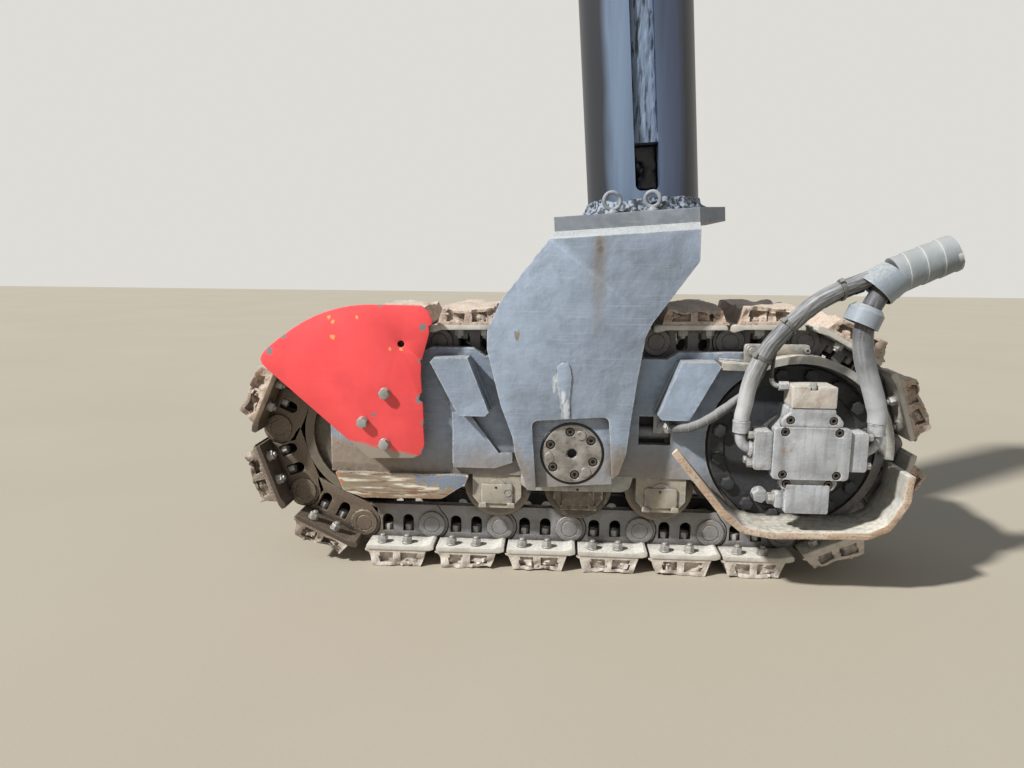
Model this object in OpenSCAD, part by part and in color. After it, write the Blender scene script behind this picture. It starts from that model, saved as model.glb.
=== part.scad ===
// Crawler track unit of a road milling machine, with its lifting leg.
// Millimetres. +Z is up, +X runs from the idler to the drive sprocket, -Y is the motor side.
// The origin is on the ground, straight below the rocking pivot.

/* [Track chain] */
// distance from one track pin to the next
pitch = 171.45; // [150:0.05:200]
// pin centres above the ground on the lower run
pin_height = 88; // [80:1:100]
// links in the straight lower run, and as many in the upper run
run_links = 6; // [5:1:8]
// radius of the circle that the pins follow round the idler
idler_pin_r = 229; // [220:1:240]
// teeth on the sprocket, every second one meets a bush
sprocket_teeth = 17; // [15:2:19]
// width of a track shoe
shoe_w = 300; // [250:5:400]
// rail surface, measured inwards from the pin line
rail_in = 50; // [45:1:55]
// back of the links, measured outwards from the pin line
rail_out = 34; // [30:1:38]
// inner face of each chain strand from the middle of the track
strand_in = 46; // [40:1:55]
// thickness of a chain strand
strand_t = 38; // [30:1:42]
// radius of the pin bosses
boss_r = 31; // [26:1:34]
// how far a pin boss stands out of its strand
boss_out = 6; // [3:1:8]
// radius of the bushes between the strands
bush_r = 24; // [20:1:28]
// thickness of the steel shoe plate
shoe_t = 11; // [8:1:14]

/* [Frame] */
// half the width inside the side plates
plate_in = 106; // [98:1:110]
// thickness of the side plates
plate_t = 30; // [20:1:36]
// height of the rocking pivot
pivot_z = 305; // [290:1:320]
// radius of the pivot pin
pin_r = 55; // [45:1:60]
// running clearance of the pivot pin, on the radius
pin_play = 0.05; // [0.02:0.01:0.09]
// wall of the hub that the pin turns in
hub_wall = 34; // [25:1:40]
// radius of the opening for the final drive
drive_open_r = 194; // [190:1:200]
// width of the frame's round rim outside that opening
drive_rim = 20; // [16:1:26]

/* [Leg] */
// outside radius of the lifting column
column_r = 130; // [110:1:150]
// wall of the lifting column
column_wall = 34; // [25:1:45]
// top of the lifting column above the ground
column_top = 1850; // [1700:10:2000]
// column centre ahead of the pivot
column_x = 200; // [180:1:220]
// inner face of each cheek from the middle of the track
cheek_in = 163; // [160:1:175]
// thickness of a cheek
cheek_t = 40; // [30:1:50]
// underside of the head plate above the pivot
head_low = 502; // [490:1:520]
// thickness of the head plate
head_t = 31; // [25:1:40]
// how far the leg is rocked towards the idler where it rests, in degrees
rest_rock = 4.2; // [0:0.1:6]

/* [Drive] */
// outer face of the motor from the middle of the track
motor_face = 285; // [270:1:300]
// motor cover centre above the sprocket's centre
motor_lift = 18; // [0:1:25]
// outer edge of the lower guard from the middle of the track
guard_edge = 262; // [240:1:280]
// thickness of the bent guard strips
strip_t = 17; // [12:1:20]

/* [Hoses] */
// radius of the left-hand pressure hose
left_hose_r = 17; // [15:0.5:18]
// radius of the right-hand pressure hose
right_hose_r = 21; // [18:0.5:21]
// radius of the wrapped drain hose
drain_hose_r = 11; // [9:0.5:11]
// radius of the thin case hose
case_hose_r = 4; // [3:0.5:4]

/* [Hidden] */
$fn = 64;
seat = 0.3;
half_shoe = shoe_w / 2;
strand_out = strand_in + strand_t;
plate_out = plate_in + plate_t;
cheek_out = cheek_in + cheek_t;

// sprocket and idler, worked out so that the chain closes without slack
arc_links = 4;
drive_step = 720 / sprocket_teeth;
drive_pin_r = pitch / (2 * sin(drive_step / 2));
idler_step = 2 * asin(pitch / (2 * idler_pin_r));
idler_lead = 4.8;
end_x = run_links * pitch / 2;
idler_x = -end_x + idler_pin_r * sin(idler_lead);
idler_z = pin_height + idler_pin_r * cos(idler_lead);

function ring_pin(cx, cz, r, a) = [cx + r * cos(a), cz + r * sin(a)];
function idler_pin(n) = ring_pin(idler_x, idler_z, idler_pin_r, -90 - idler_lead - n * idler_step);
function drive_cx(lead) = end_x - drive_pin_r * sin(lead);
function drive_cz(lead) = pin_height + drive_pin_r * cos(lead);
function drive_pin(n, lead) =
    ring_pin(drive_cx(lead), drive_cz(lead), drive_pin_r, -90 + lead + n * drive_step);
function upper_run(lead) = norm(drive_pin(arc_links, lead) - idler_pin(arc_links));
function close_lead(lo, hi, n) =
    n == 0 ? (lo + hi) / 2
    : upper_run((lo + hi) / 2) > run_links * pitch ? close_lead((lo + hi) / 2, hi, n - 1)
    : close_lead(lo, (lo + hi) / 2, n - 1);
drive_lead = close_lead(-20, 30, 40);
drive_x = drive_cx(drive_lead);
drive_z = drive_cz(drive_lead);
top_start = idler_pin(arc_links);
top_end = drive_pin(arc_links, drive_lead);

// pin centres all round the chain, anticlockwise from the lower run's idler end
pins = concat(
    [for (k = [0 : run_links - 1]) [-end_x + k * pitch, pin_height]],
    [for (k = [0 : arc_links - 1]) drive_pin(k, drive_lead)],
    [for (k = [0 : run_links - 1]) top_end + (top_start - top_end) * k / run_links],
    [for (k = [0 : arc_links - 1]) idler_pin(arc_links - k)]);
links = len(pins);

// track rollers: radii of tread and flange, and centres between the idler and the drive
roller_tread_r = 0.36 * pitch;
roller_flange_r = roller_tread_r + 20.3;
roller_z = pin_height + rail_in + roller_tread_r + seat;
roller_shaft_r = 24;
collar_half = 0.34 * pitch;
collar_gap = 9;
plate_foot = drive_x - drive_pin_r + 14;
idler_tread_r = idler_pin_r * cos(idler_step / 2) - rail_in - seat;
idler_flange_r = idler_pin_r - bush_r - 12;
idler_shaft_r = 32;
roller_first = idler_x + idler_flange_r + roller_flange_r + 43.2;
roller_last = plate_foot - collar_gap - collar_half;
roller_xs = [roller_first, (roller_first + roller_last) / 2, roller_last];

// frame levels
frame_low = 236;
box_low = 292;
box_top = 480;
box_x = [idler_x + idler_flange_r + 52, drive_x - drive_pin_r - 31];
wall = 15;
frame_top = 520;
stop_top = frame_top + 2;
stop_out = plate_out + 52;
window_x = [drive_x - 348.3, drive_x - 274.3];
window_z = [drive_z - 7, drive_z + 61];
hub_r = pin_r + pin_play + hub_wall;
hub_half = cheek_in - 3;
drive_rim_r = drive_open_r + drive_rim;
drive_ring_t = 18;
gear_r = 150;
flange_t = plate_t - drive_ring_t - 1;
sprocket_half = 24;

// leg levels above the pivot
pocket_half = 87;
pocket_top = 85;
block_face = cheek_out - 19;
cap_r = 68;
cheek_foot = -77;
bevel = 16;
groove_w = 55;
groove_d = 18;
groove_low = 885;
pocket_high = 990;
pocket_d = 48;
hollow_low = pocket_high + 20;

// motor sizes, width and height
cover = [160, 113];
cover_t = 24;
motor_back = 200;
motor_depth = motor_face - motor_back;
block_half = 46;
port_flange = [38, 85];
port_z = drive_z + motor_lift + 4;
elbow_r = 24;
tube_r = 12.5;
elbow_x = cover[0] / 2 + port_flange[0] + elbow_r;

// hose routes from their fittings to the boot that gathers them, in X and Z from the drive's centre
left_route = [[-141.9, -253, 82.2], [-141.9, -253, 92.9], [-137.3, -253, 114.9], [-133.3, -253, 144.9],
    [-126.3, -253, 174.9], [-115.3, -253, 204.9], [-99.3, -253, 234.9], [-78.3, -253, 262.9],
    [-54.3, -253, 290.9], [-25.3, -253, 319.9], [6.7, -253, 344.9], [41.7, -253, 363.9],
    [74.7, -252, 376.9], [98.7, -251, 385.9]];
right_route = [[142.1, -253, 82.2], [142.1, -253, 92.9], [140.7, -253, 104.9], [135.7, -253, 121.9],
    [128.7, -253, 144.9], [120.7, -253, 167.9], [111.7, -253, 191.9], [103.7, -253, 217.9],
    [98.7, -253, 246.9], [97.7, -253, 277.9], [102.7, -253, 307.9], [111.7, -253, 333.9],
    [127.7, -252, 360.9]];
drain_route = [[-274.6, -158.1, 40.9], [-267, -169, 41.4], [-257.3, -181, 43.9], [-241.3, -199, 50.9],
    [-222.3, -213, 62.9], [-200.3, -222, 78.9], [-176.3, -225, 97.9], [-151.3, -225, 116.9],
    [-129.3, -223, 134.9], [-113.3, -223, 156.9], [-102.3, -225, 182.9], [-92.3, -227, 206.9],
    [-81.3, -229, 228.9], [-65.3, -230, 251.9], [-42.3, -230, 278.9], [-14.3, -230, 306.9],
    [15.7, -230, 330.9], [48.7, -230, 348.9], [76.7, -230, 360.9], [96.7, -229, 367.9]];
case_route = [[-82, -243, 173.2], [-82, -243, 179.9], [-80.3, -238, 189.9], [-76.3, -228, 202.9],
    [-71.3, -216, 219.9], [-62.3, -212, 250.9], [-47.3, -214, 284.9], [-24.3, -226, 317.9],
    [6.7, -230, 346.4], [42.7, -230, 365.4], [74.7, -230, 377.4], [96.7, -230, 385.4]];

// boot: centres and radii of its slanting mouth and of its end in the sleeve
boot_mouth = [111.2, -247, 362.4];
boot_mouth_r = 45;
boot_end = [157.7, -247, 395.9];
boot_end_r = 38.5;
boot_slant = 40.5;
sleeve_r = 39.5;
sleeve_from = [151.7, -247, 392.9];
sleeve_turn = 67;
sleeve_len = 123;
cap_at = [97.7, -253, 311.9];
cap_lean = 22;

/* colours */
steel_blue = "#8b929c";
head_grey = "#7d838d";
chain_brown = "#6b655c";
guard_red = "#e0402f";
motor_grey = "#a8abac";
column_steel = "#5d677f";
rust = "#7a5a44";
dark = "#3a3b3c";
hose_grey = "#5a5b59";
sleeve_grey = "#8e8e8a";

// a flat outline in X and Z, given its thickness between two Y values
module slab(y0, y1) {
    translate([0, y1, 0]) rotate([90, 0, 0]) linear_extrude(y1 - y0) children();
}

// a rectangle from its lower left corner, with its upper two corners rounded
module round_top(w, h, r) {
    square([w, h - r]);
    translate([r, 0]) square([w - 2 * r, h]);
    for (x = [r, w - r]) translate([x, h - r]) circle(r = r, $fn = 24);
}

// a round bar along Y
module bar_y(r, y0, y1) {
    translate([0, y0, 0]) rotate([-90, 0, 0]) cylinder(r = r, h = y1 - y0);
}

// near-side or far-side copy of what is drawn on the near side
module side(s) {
    if (s < 0) children(); else mirror([0, 1, 0]) children();
}

// the leg's pieces, leaned about the pivot to where the leg rests
module rocked() {
    translate([0, 0, pivot_z]) rotate([0, -rest_rock, 0]) translate([0, 0, -pivot_z]) children();
}

// pieces that are placed from the drive's centre
module by_drive() {
    translate([drive_x, 0, drive_z]) children();
}

// tube swept along a route of points, with flat ends
function cross_y(t) = unit(cross(t, [0, 1, 0]));
function heading(pts, i) = unit(pts[min(i + 1, len(pts) - 1)] - pts[max(i - 1, 0)]);
function ring_of(pts, i, r, sides) =
    let (t = heading(pts, i), n = cross_y(t), b = cross(t, n))
    [for (k = [0 : sides - 1]) pts[i] + r * (cos(k * 360 / sides) * n + sin(k * 360 / sides) * b)];
module hose(pts, r, sides = 10) {
    rings = len(pts);
    polyhedron(
        points = [for (i = [0 : rings - 1]) each ring_of(pts, i, r, sides)],
        faces = concat(
            [[for (k = [0 : sides - 1]) k]],
            [for (i = [0 : rings - 2], k = [0 : sides - 1])
                let (a = i * sides + k, b = i * sides + (k + 1) % sides) [a, a + sides, b]],
            [for (i = [0 : rings - 2], k = [0 : sides - 1])
                let (a = i * sides + k, b = i * sides + (k + 1) % sides) [b, a + sides, b + sides]],
            [[for (k = [sides - 1 : -1 : 0]) (rings - 1) * sides + k]]));
}

// mitred band of even thickness along a line of points, on its right-hand side
function unit(v) = v / norm(v);
function left_of(v) = [-v[1], v[0]];
function corner(pts, i) =
    let (a = i > 0 ? unit(pts[i] - pts[i - 1]) : unit(pts[1] - pts[0]),
         b = i < len(pts) - 1 ? unit(pts[i + 1] - pts[i]) : a,
         n = unit(left_of(a) + left_of(b)))
    n / (n * left_of(a));
module band(pts, t) {
    inner = [for (i = [len(pts) - 1 : -1 : 0]) pts[i] + corner(pts, i) * t];
    polygon(concat(pts, inner));
}

// frame of one link: U runs from pin to pin, W points outwards from the loop
module link_frame(i) {
    a = pins[i];
    b = pins[(i + 1) % links];
    translate(a) rotate(atan2(b[1] - a[1], b[0] - a[0])) mirror([0, 1]) children();
}

window_w = 27;
window_h = 40;
module link_windows() {
    for (u = [0.35, 0.65]) translate([u * pitch - window_w / 2, -window_h / 2 - 4])
        square([window_w, window_h]);
}

module link_outline() {
    difference() {
        translate([-boss_r * 0.8, -rail_in]) square([pitch + 1.6 * boss_r, rail_in + rail_out]);
        link_windows();
    }
}

// shoe: steel plate and the worn pad bolted under it
shoe_start = 20;
shoe_len = pitch - 6;
pad_taper = 14;
pad_t = pin_height - rail_out - shoe_t;
module shoe_outline() {
    translate([shoe_start, rail_out - 1]) square([shoe_len, shoe_t + 1]);
    polygon([[shoe_start + 5, rail_out + shoe_t - 1],
             [shoe_start + 5 + pad_taper, rail_out + shoe_t + pad_t],
             [shoe_start + shoe_len - 5 - pad_taper, rail_out + shoe_t + pad_t],
             [shoe_start + shoe_len - 5, rail_out + shoe_t - 1]]);
}

module track() color(chain_brown) {
    for (s = [-1, 1]) side(s) {
        slab(-strand_out, -strand_in) for (i = [0 : links - 1]) link_frame(i) link_outline();
        slab(-strand_out - boss_out, -strand_out + 1)
            for (c = pins) translate(c) circle(r = boss_r, $fn = 10);
    }
    slab(-strand_in - 1, strand_in + 1) for (c = pins) translate(c) circle(r = bush_r, $fn = 8);
    slab(-half_shoe, half_shoe) for (i = [0 : links - 1]) link_frame(i) shoe_outline();
}

// side plate: front fork end, level top edge, round rear end
module plate_outline() {
    polygon([[idler_x - 82, frame_low], [idler_x - 82, 363], [idler_x + 65, 468],
             [idler_x + 143, 530], [idler_x + 164, 540], [-233, 540], [-205, frame_top],
             [215, frame_top], [240, 537], [drive_x, 540], [drive_x, drive_z],
             [drive_x - 120, drive_z - 178], [plate_foot + 50, frame_low - 36],
             [plate_foot, frame_low]]);
    translate([drive_x, drive_z]) circle(r = drive_rim_r);
}

module side_plate() {
    difference() {
        slab(-plate_out, -plate_in) plate_outline();
        translate([drive_x, 0, drive_z]) bar_y(drive_open_r, -plate_out - 1, -plate_in - drive_ring_t);
        translate([drive_x, 0, drive_z]) bar_y(gear_r + seat, -plate_out - 1, -plate_in + 1);
        slab(-plate_out - 1, -plate_in + 1) translate([window_x[0], window_z[0]])
            square([window_x[1] - window_x[0], window_z[1] - window_z[0]]);
        slab(-plate_out - 1, -plate_in + 1) translate([idler_x - 65, idler_z - 18]) square([110, 36]);
    }
}

module track_frame() color(steel_blue) difference() {
    union() {
        for (s = [-1, 1]) side(s) side_plate();
        translate([box_x[0], -plate_in - 1, box_top - wall])
            cube([box_x[1] - box_x[0], 2 * plate_in + 2, wall]);
        translate([box_x[0], -plate_in - 1, box_low])
            cube([box_x[1] - box_x[0], 2 * plate_in + 2, wall]);
        for (x = [box_x[0], box_x[1] - wall]) translate([x, -plate_in - 1, box_low])
            cube([wall, 2 * plate_in + 2, box_top - box_low]);
        for (s = [-1, 1]) side(s) translate([0, 0, pivot_z]) bar_y(hub_r, -hub_half, -plate_out + 1);
    }
    for (s = [-1, 1]) side(s) translate([0, 0, pivot_z])
        bar_y(pin_r + pin_play, -hub_half - 1, -plate_in + 1);
}

// idler wheel: two treads for the rails and a guide flange between the strands
module idler() color(dark) translate([idler_x, 0, idler_z]) rotate([90, 0, 0]) rotate_extrude()
    polygon([[idler_shaft_r + seat, -86], [70, -86], [78, -70], [idler_tread_r - 22, -70],
             [idler_tread_r - 22, -86], [idler_tread_r, -86], [idler_tread_r, -38],
             [idler_flange_r, -24], [idler_flange_r, 24], [idler_tread_r, 38],
             [idler_tread_r, 86], [idler_tread_r - 22, 86], [idler_tread_r - 22, 70],
             [78, 70], [70, 86], [idler_shaft_r + seat, 86]]);

// carriage: shaft, two arms that slide in the fork, and the cross bar on the box
arm_front = 65;
arm_h = 84;
bar_w = 42;
module idler_carriage() color(dark) {
    translate([idler_x, 0, idler_z]) bar_y(idler_shaft_r, -plate_in + 1, plate_in - 1);
    for (s = [-1, 1]) side(s) slab(-plate_in + seat, -plate_in + 8)
        translate([idler_x - arm_front, idler_z - arm_h / 2])
            square([box_x[0] - idler_x + arm_front, arm_h]);
    translate([box_x[0] - bar_w, -plate_in + 1, idler_z - 26])
        cube([bar_w, 2 * plate_in - 2, 56]);
}

module roller(i) color(dark) translate([roller_xs[i], 0, roller_z]) rotate([90, 0, 0])
    rotate_extrude() polygon([[roller_shaft_r + seat, -97], [roller_flange_r - 8, -97],
        [roller_flange_r, -92], [roller_flange_r, -91.5 + seat], [roller_tread_r, -90.5 + seat],
        [roller_tread_r, -44], [roller_tread_r - 14, -40], [roller_tread_r - 14, 40],
        [roller_tread_r, 44], [roller_tread_r, 90.5 - seat], [roller_flange_r, 91.5 - seat],
        [roller_flange_r, 92], [roller_flange_r - 8, 97], [roller_shaft_r + seat, 97]]);

// dead shaft with a collar at each end, bolted up under the side plates
module roller_shaft(i) color(steel_blue) translate([roller_xs[i], 0, roller_z]) {
    bar_y(roller_shaft_r, -plate_out + 2, plate_out - 2);
    for (s = [-1, 1]) side(s) slab(-plate_out + 4, -plate_in + 2)
        polygon([[-collar_half, frame_low - roller_z], [collar_half, frame_low - roller_z],
                 [collar_half, -20], [36, -48], [-36, -48], [-collar_half, -20]]);
}

// toothed ring between the strands, with a seat for a bush between each two teeth
module sprocket() color(chain_brown) translate([drive_x, 0, drive_z]) difference() {
    bar_y(drive_pin_r + 6, -sprocket_half, sprocket_half);
    for (k = [0 : sprocket_teeth - 1]) rotate([0, 90 - drive_lead - k * drive_step / 2, 0])
        translate([drive_pin_r, 0, 0]) bar_y(bush_r + 1.5, -sprocket_half - 1, sprocket_half + 1);
    bar_y(95, -sprocket_half - 1, sprocket_half + 1);
}

// planetary housing: bolted flange, drum through the frame ring, cap on the far side
module final_drive() color(dark) translate([drive_x, 0, drive_z]) {
    bar_y(drive_open_r - 5, -plate_in - drive_ring_t - flange_t, -plate_in - drive_ring_t);
    bar_y(gear_r, -plate_in - drive_ring_t - 1, -sprocket_half);
    bar_y(95 - seat, -sprocket_half - 1, sprocket_half + 1);
    bar_y(128, sprocket_half, 70);
    bar_y(78, -motor_back, -plate_in - drive_ring_t - flange_t + 1);
}

// front guard plate and the three bosses that carry it, all from the idler's centre
guard_t = 8;
guard_face = 179;
guard_bolts = [[61.2, 119.8], [8.2, 50.8], [58.2, -0.2]];
guard_points = [[-231.8, 186.8], [-226.8, 200.8], [-187.8, 240.8], [-131.8, 278.8], [-73.8, 305.8],
    [-10.8, 320.8], [50.2, 323.8], [147.2, 322.8], [165.2, 309.8], [173.2, 287.8], [164.2, 254.8],
    [148.2, 197.8], [145.2, 161.8], [149.2, 99.8], [152.2, -0.2], [145.2, -23.2], [125.2, -33.2],
    [21.2, -36.2]];
module front_guard() color(guard_red) translate([idler_x, 0, idler_z]) {
    difference() {
        slab(-guard_face, -guard_face + guard_t) polygon(guard_points);
        slab(-guard_face - 1, -guard_face + guard_t + 1) translate([100.2, 234.8]) circle(r = 8);
    }
    for (b = guard_bolts) translate([b[0], 0, b[1]])
        bar_y(15, -guard_face + guard_t - 1, -plate_out);
}

skid_end = roller_first - collar_half - 7;
module front_skid(s) color(rust) side(s) slab(-plate_out - 12, -plate_in - 2)
    polygon([[idler_x - 71, frame_low], [skid_end, frame_low], [skid_end - 10, 212],
             [skid_end - 65, 176], [idler_x - 2, 173], [idler_x - 53, 191]]);

// stop that limits how far the leg rocks, on the side plate; the front one has a gusset under it
gusset_t = 14;
stop_x = [192, 327];
module stop_outline() {
    polygon([[-stop_x[1], stop_top - 10], [-stop_x[1] + 9, stop_top], [-stop_x[1] + 86, stop_top],
             [-stop_x[0], stop_top - 124], [-stop_x[0] - 9, stop_top - 134],
             [-stop_x[1] + 65, stop_top - 134]]);
}
module stop_block(s, end) color(steel_blue) side(s) {
    slab(-stop_out, -plate_out) mirror([end < 0 ? 1 : 0, 0]) stop_outline();
    if (end > 0) slab(-plate_out - gusset_t, -plate_out)
        polygon([[-280, 255], [-280, stop_top - 133], [-243, stop_top - 133],
                 [-171, 292], [-139, 293], [-139, 270], [-180, 255]]);
}

// strip from the rear stop, bent round the upper right of the final drive
arch_from = 116;
module arch_guard() color(steel_blue) {
    translate([drive_x, 0, drive_z]) slab(-stop_out + 3, -plate_out) difference() {
        circle(r = drive_rim_r);
        circle(r = drive_rim_r - strip_t);
        polygon([[0, 0], 2 * drive_rim_r * [cos(arch_from), sin(arch_from)],
                 [-2 * drive_rim_r, 2 * drive_rim_r], [-2 * drive_rim_r, -2 * drive_rim_r],
                 [2 * drive_rim_r, -2 * drive_rim_r], [2 * drive_rim_r, -0.16 * drive_rim_r]]);
    }
    slab(-stop_out + 3, -plate_out)
        polygon([[stop_x[1] + seat, stop_top - strip_t], [stop_x[1] + seat, stop_top],
                 [drive_x + drive_rim_r * cos(arch_from), drive_z + drive_rim_r * sin(arch_from)],
                 [drive_x + (drive_rim_r - strip_t) * cos(arch_from),
                  drive_z + (drive_rim_r - strip_t) * sin(arch_from)]]);
}

// bent strip under the final drive: its line in parts of the sprocket's pin circle
guard_line = [[0.976, -0.139], [0.955, -0.392], [0.808, -0.662], [0.618, -0.750],
              [-0.267, -0.771], [-0.545, -0.725], [-0.752, -0.556], [-1.219, 0.021]];
module lower_guard() color(steel_blue) translate([drive_x, 0, drive_z]) difference() {
    slab(-guard_edge, -plate_out) band(drive_pin_r * guard_line, -strip_t);
    translate([drive_pin_r * guard_line[7][0], -guard_edge, -drive_pin_r]) rotate([0, 0, -42])
        translate([-400, -200, -10]) cube([400, 400, 300]);
}

// bracket that stands on the arch, with rounded upper corners
bracket_t = 12;
bracket_high = 21;
bracket_span = [-119, 25];
module clamp_bracket() color(steel_blue) translate([drive_x, 0, drive_z])
    slab(-plate_out - bracket_t, -plate_out) difference() {
        translate([bracket_span[0], drive_rim_r - 17]) round_top(bracket_span[1] - bracket_span[0],
            bracket_high + 17, 8);
        circle(r = drive_rim_r);
    }

// block behind the motor's face: X and Z limits, then depths from the face
module block_y(x0, x1, z0, z1, d0, d1) {
    translate([x0, -motor_face + d0, z0]) cube([x1 - x0, d1 - d0, z1 - z0]);
}

// motor: body between its upper and lower blocks, bolted cover in front
module motor_body() color(motor_grey) translate([drive_x, 0, drive_z + motor_lift]) {
    block_y(-72, 72, -52, 52, cover_t, motor_depth);
    block_y(-49, 49, 51, 96, cover_t, motor_depth - 12);
    block_y(-block_half, block_half, 95, 144, 8, motor_depth - 16);
    block_y(-block_half, block_half, -60, -51, cover_t, motor_depth - 16);
    block_y(-block_half, block_half, -134, -59, 8, motor_depth - 16);
}
module motor_cover() color(motor_grey) translate([drive_x, 0, drive_z + motor_lift])
    translate([-cover[0] / 2, -motor_face, -cover[1] / 2]) cube([cover[0], cover_t, cover[1]]);

module port_flange_at(end) color(motor_grey)
    translate([drive_x + (end < 0 ? -cover[0] / 2 - port_flange[0] : cover[0] / 2),
               -motor_face + 6, port_z - port_flange[1] / 2])
        cube([port_flange[0], 52, port_flange[1]]);

// bent tube from a port flange up to its hose
module elbow(end) color(motor_grey)
    translate([drive_x + end * (elbow_x - elbow_r), -motor_face + 32, port_z]) {
        translate([0, 0, elbow_r]) rotate([90, 0, 0]) rotate([0, 0, end < 0 ? 180 : -90])
            rotate_extrude(angle = 90) translate([elbow_r, 0]) circle(r = tube_r);
        translate([end * elbow_r, 0, elbow_r]) cylinder(r = tube_r, h = 16);
        translate([end * elbow_r, 0, elbow_r + 10]) cylinder(r = 18, h = 26);
    }

// plate in the frame's window with the turned gland of the drain hose
gland_plate = [40, 40, 10];
gland_turn = 35;
gland_len = 34;
module drain_gland() color(motor_grey) {
    translate([window_x[1] - gland_plate[0], 2 - plate_out, window_z[1] - gland_plate[1]])
        cube([gland_plate[0], gland_plate[2], gland_plate[1]]);
    translate([drive_x - 294.3, 6 - plate_out, drive_z + 41]) rotate([0, 0, gland_turn]) {
        bar_y(drain_hose_r + 2, -gland_len, 0);
        translate([0, -19, 0]) rotate([90, 0, 0]) cylinder(r = drain_hose_r + 5, h = 12, $fn = 6);
    }
}

// screwed elbow on the motor's upper block, turned up to the case hose
fitting_len = 20;
fitting_z = 173;
fitting_bend = 16;
module case_fitting() color(motor_grey) {
    translate([drive_x - block_half, -243, drive_z + fitting_z - fitting_bend]) rotate([0, -90, 0])
        cylinder(r = 10, h = fitting_len, $fn = 6);
    translate([drive_x - block_half - fitting_len, -243, drive_z + fitting_z]) rotate([90, 0, 0])
        rotate([0, 0, 180]) rotate_extrude(angle = 90) translate([fitting_bend, 0])
            circle(r = case_hose_r + 1);
}

module hose_left() color(sleeve_grey) by_drive() hose(left_route, left_hose_r);
module hose_right() color(sleeve_grey) by_drive() hose(right_route, right_hose_r);
module hose_drain() color(hose_grey) by_drive() hose(drain_route, drain_hose_r, 8);
module hose_case() color(dark) by_drive() hose(case_route, case_hose_r, 8);

// bell cap on the right-hand hose
module hose_cap() color(motor_grey) by_drive() translate(cap_at) rotate([0, cap_lean, 0]) difference() {
    union() {
        translate([0, 0, -22]) cylinder(r = 37, h = 30);
        translate([0, 0, 8]) cylinder(r1 = 37, r2 = 28, h = 10);
    }
    translate([0, 0, -23]) cylinder(r = 31, h = 26);
}

// boot that gathers the hoses, with its slanting mouth, and the first turns of the sleeve
module boot_disc(at, r) translate(at) rotate([0, boot_slant, 0]) cylinder(r = r, h = 1, $fn = 32);
module sleeve_boot() color(motor_grey) by_drive() hull() {
    boot_disc(boot_mouth, boot_mouth_r);
    boot_disc(boot_end, boot_end_r);
}
module sleeve_end() color(sleeve_grey) by_drive() translate(sleeve_from) rotate([0, sleeve_turn, 0])
    cylinder(r = sleeve_r, h = sleeve_len);

// lifting column: hollow, with a long groove in front and a pocket at its foot
head_top = pivot_z + head_low + head_t;
module column() color(column_steel) rocked() translate([column_x, 0, 0]) difference() {
    translate([0, 0, head_top]) cylinder(r = column_r, h = column_top - head_top, $fn = 96);
    translate([0, 0, hollow_low])
        cylinder(r = column_r - column_wall, h = column_top - head_top, $fn = 96);
    translate([-groove_w / 2, -column_r - 1, pocket_high - 1])
        cube([groove_w, groove_d + 1, column_top - pocket_high + 2]);
    translate([0, 1 - column_r + pocket_d, groove_low]) rotate([90, 0, 0])
        linear_extrude(pocket_d + 2) translate([-groove_w / 2, pocket_high - groove_low])
            mirror([0, 1]) round_top(groove_w, pocket_high - groove_low, 14);
}

module head_plate() color(head_grey) rocked() translate([0, 0, pivot_z + head_low])
    linear_extrude(head_t) polygon([[-12, -cheek_out + bevel], [302, -cheek_out + bevel],
        [369, -cheek_out + bevel + 67], [369, cheek_out - bevel - 67], [302, cheek_out - bevel],
        [-12, cheek_out - bevel]]);

// cheek plate of the yoke, its top edge bevelled to the head plate
module cheek_outline() {
    difference() {
        polygon([[-12, head_low], [-28, 483], [-137, 363], [-174, 296], [-177, 252], [-155, 125],
                 [-133, 50], [-129, 5], [-112, -54], [-108, cheek_foot], [64, cheek_foot],
                 [103, -49], [122, -2], [135, 71], [151, 152], [175, 260], [191, 290],
                 [297, 418], [302, head_low]]);
        translate([0, -1]) pocket_outline();
        pocket_outline();
    }
}
module pocket_outline() {
    translate([-pocket_half, cheek_foot]) round_top(2 * pocket_half, pocket_top - cheek_foot, 16);
}
module cheek(s) color(steel_blue) rocked() side(s) translate([0, 0, pivot_z]) {
    difference() {
        slab(-cheek_out, -cheek_in) cheek_outline();
        translate([-60, -cheek_out, head_low - bevel]) rotate([45, 0, 0])
            translate([0, -40, 0]) cube([420, 40, 80]);
    }
    slab(-cheek_out - 3, -cheek_out + 1)
        polygon([[-28, 88], [6, 88], [11, 200], [5, 212], [-10, 217], [-21, 208]]);
}

web_t = 25;
module yoke_web(x) color(steel_blue) rocked()
    translate([x - web_t / 2, -cheek_in, pivot_z + head_low - 62])
        cube([web_t, 2 * cheek_in, 62]);

// bearing block in the cheek's pocket, with the pin's cap let into it
cap_t = 14;
module bearing_block(s) color(steel_blue) rocked() side(s) translate([0, 0, pivot_z]) difference() {
    slab(-block_face, -cheek_in) pocket_outline();
    bar_y(pin_r + pin_play, -block_face - 1, -cheek_in + 1);
    bar_y(cap_r + 0.5, -block_face - 1, -block_face + cap_t);
}
module pivot_pin(s) color(dark) rocked() side(s) translate([0, 0, pivot_z])
    bar_y(pin_r, -block_face + cap_t, -plate_in - 1);
module pin_cap(s) color(chain_brown) rocked() side(s) translate([0, 0, pivot_z]) difference() {
    bar_y(cap_r, -block_face - 2, -block_face + cap_t);
    bar_y(12, -block_face - 3, -block_face + cap_t - 3);
}

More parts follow.
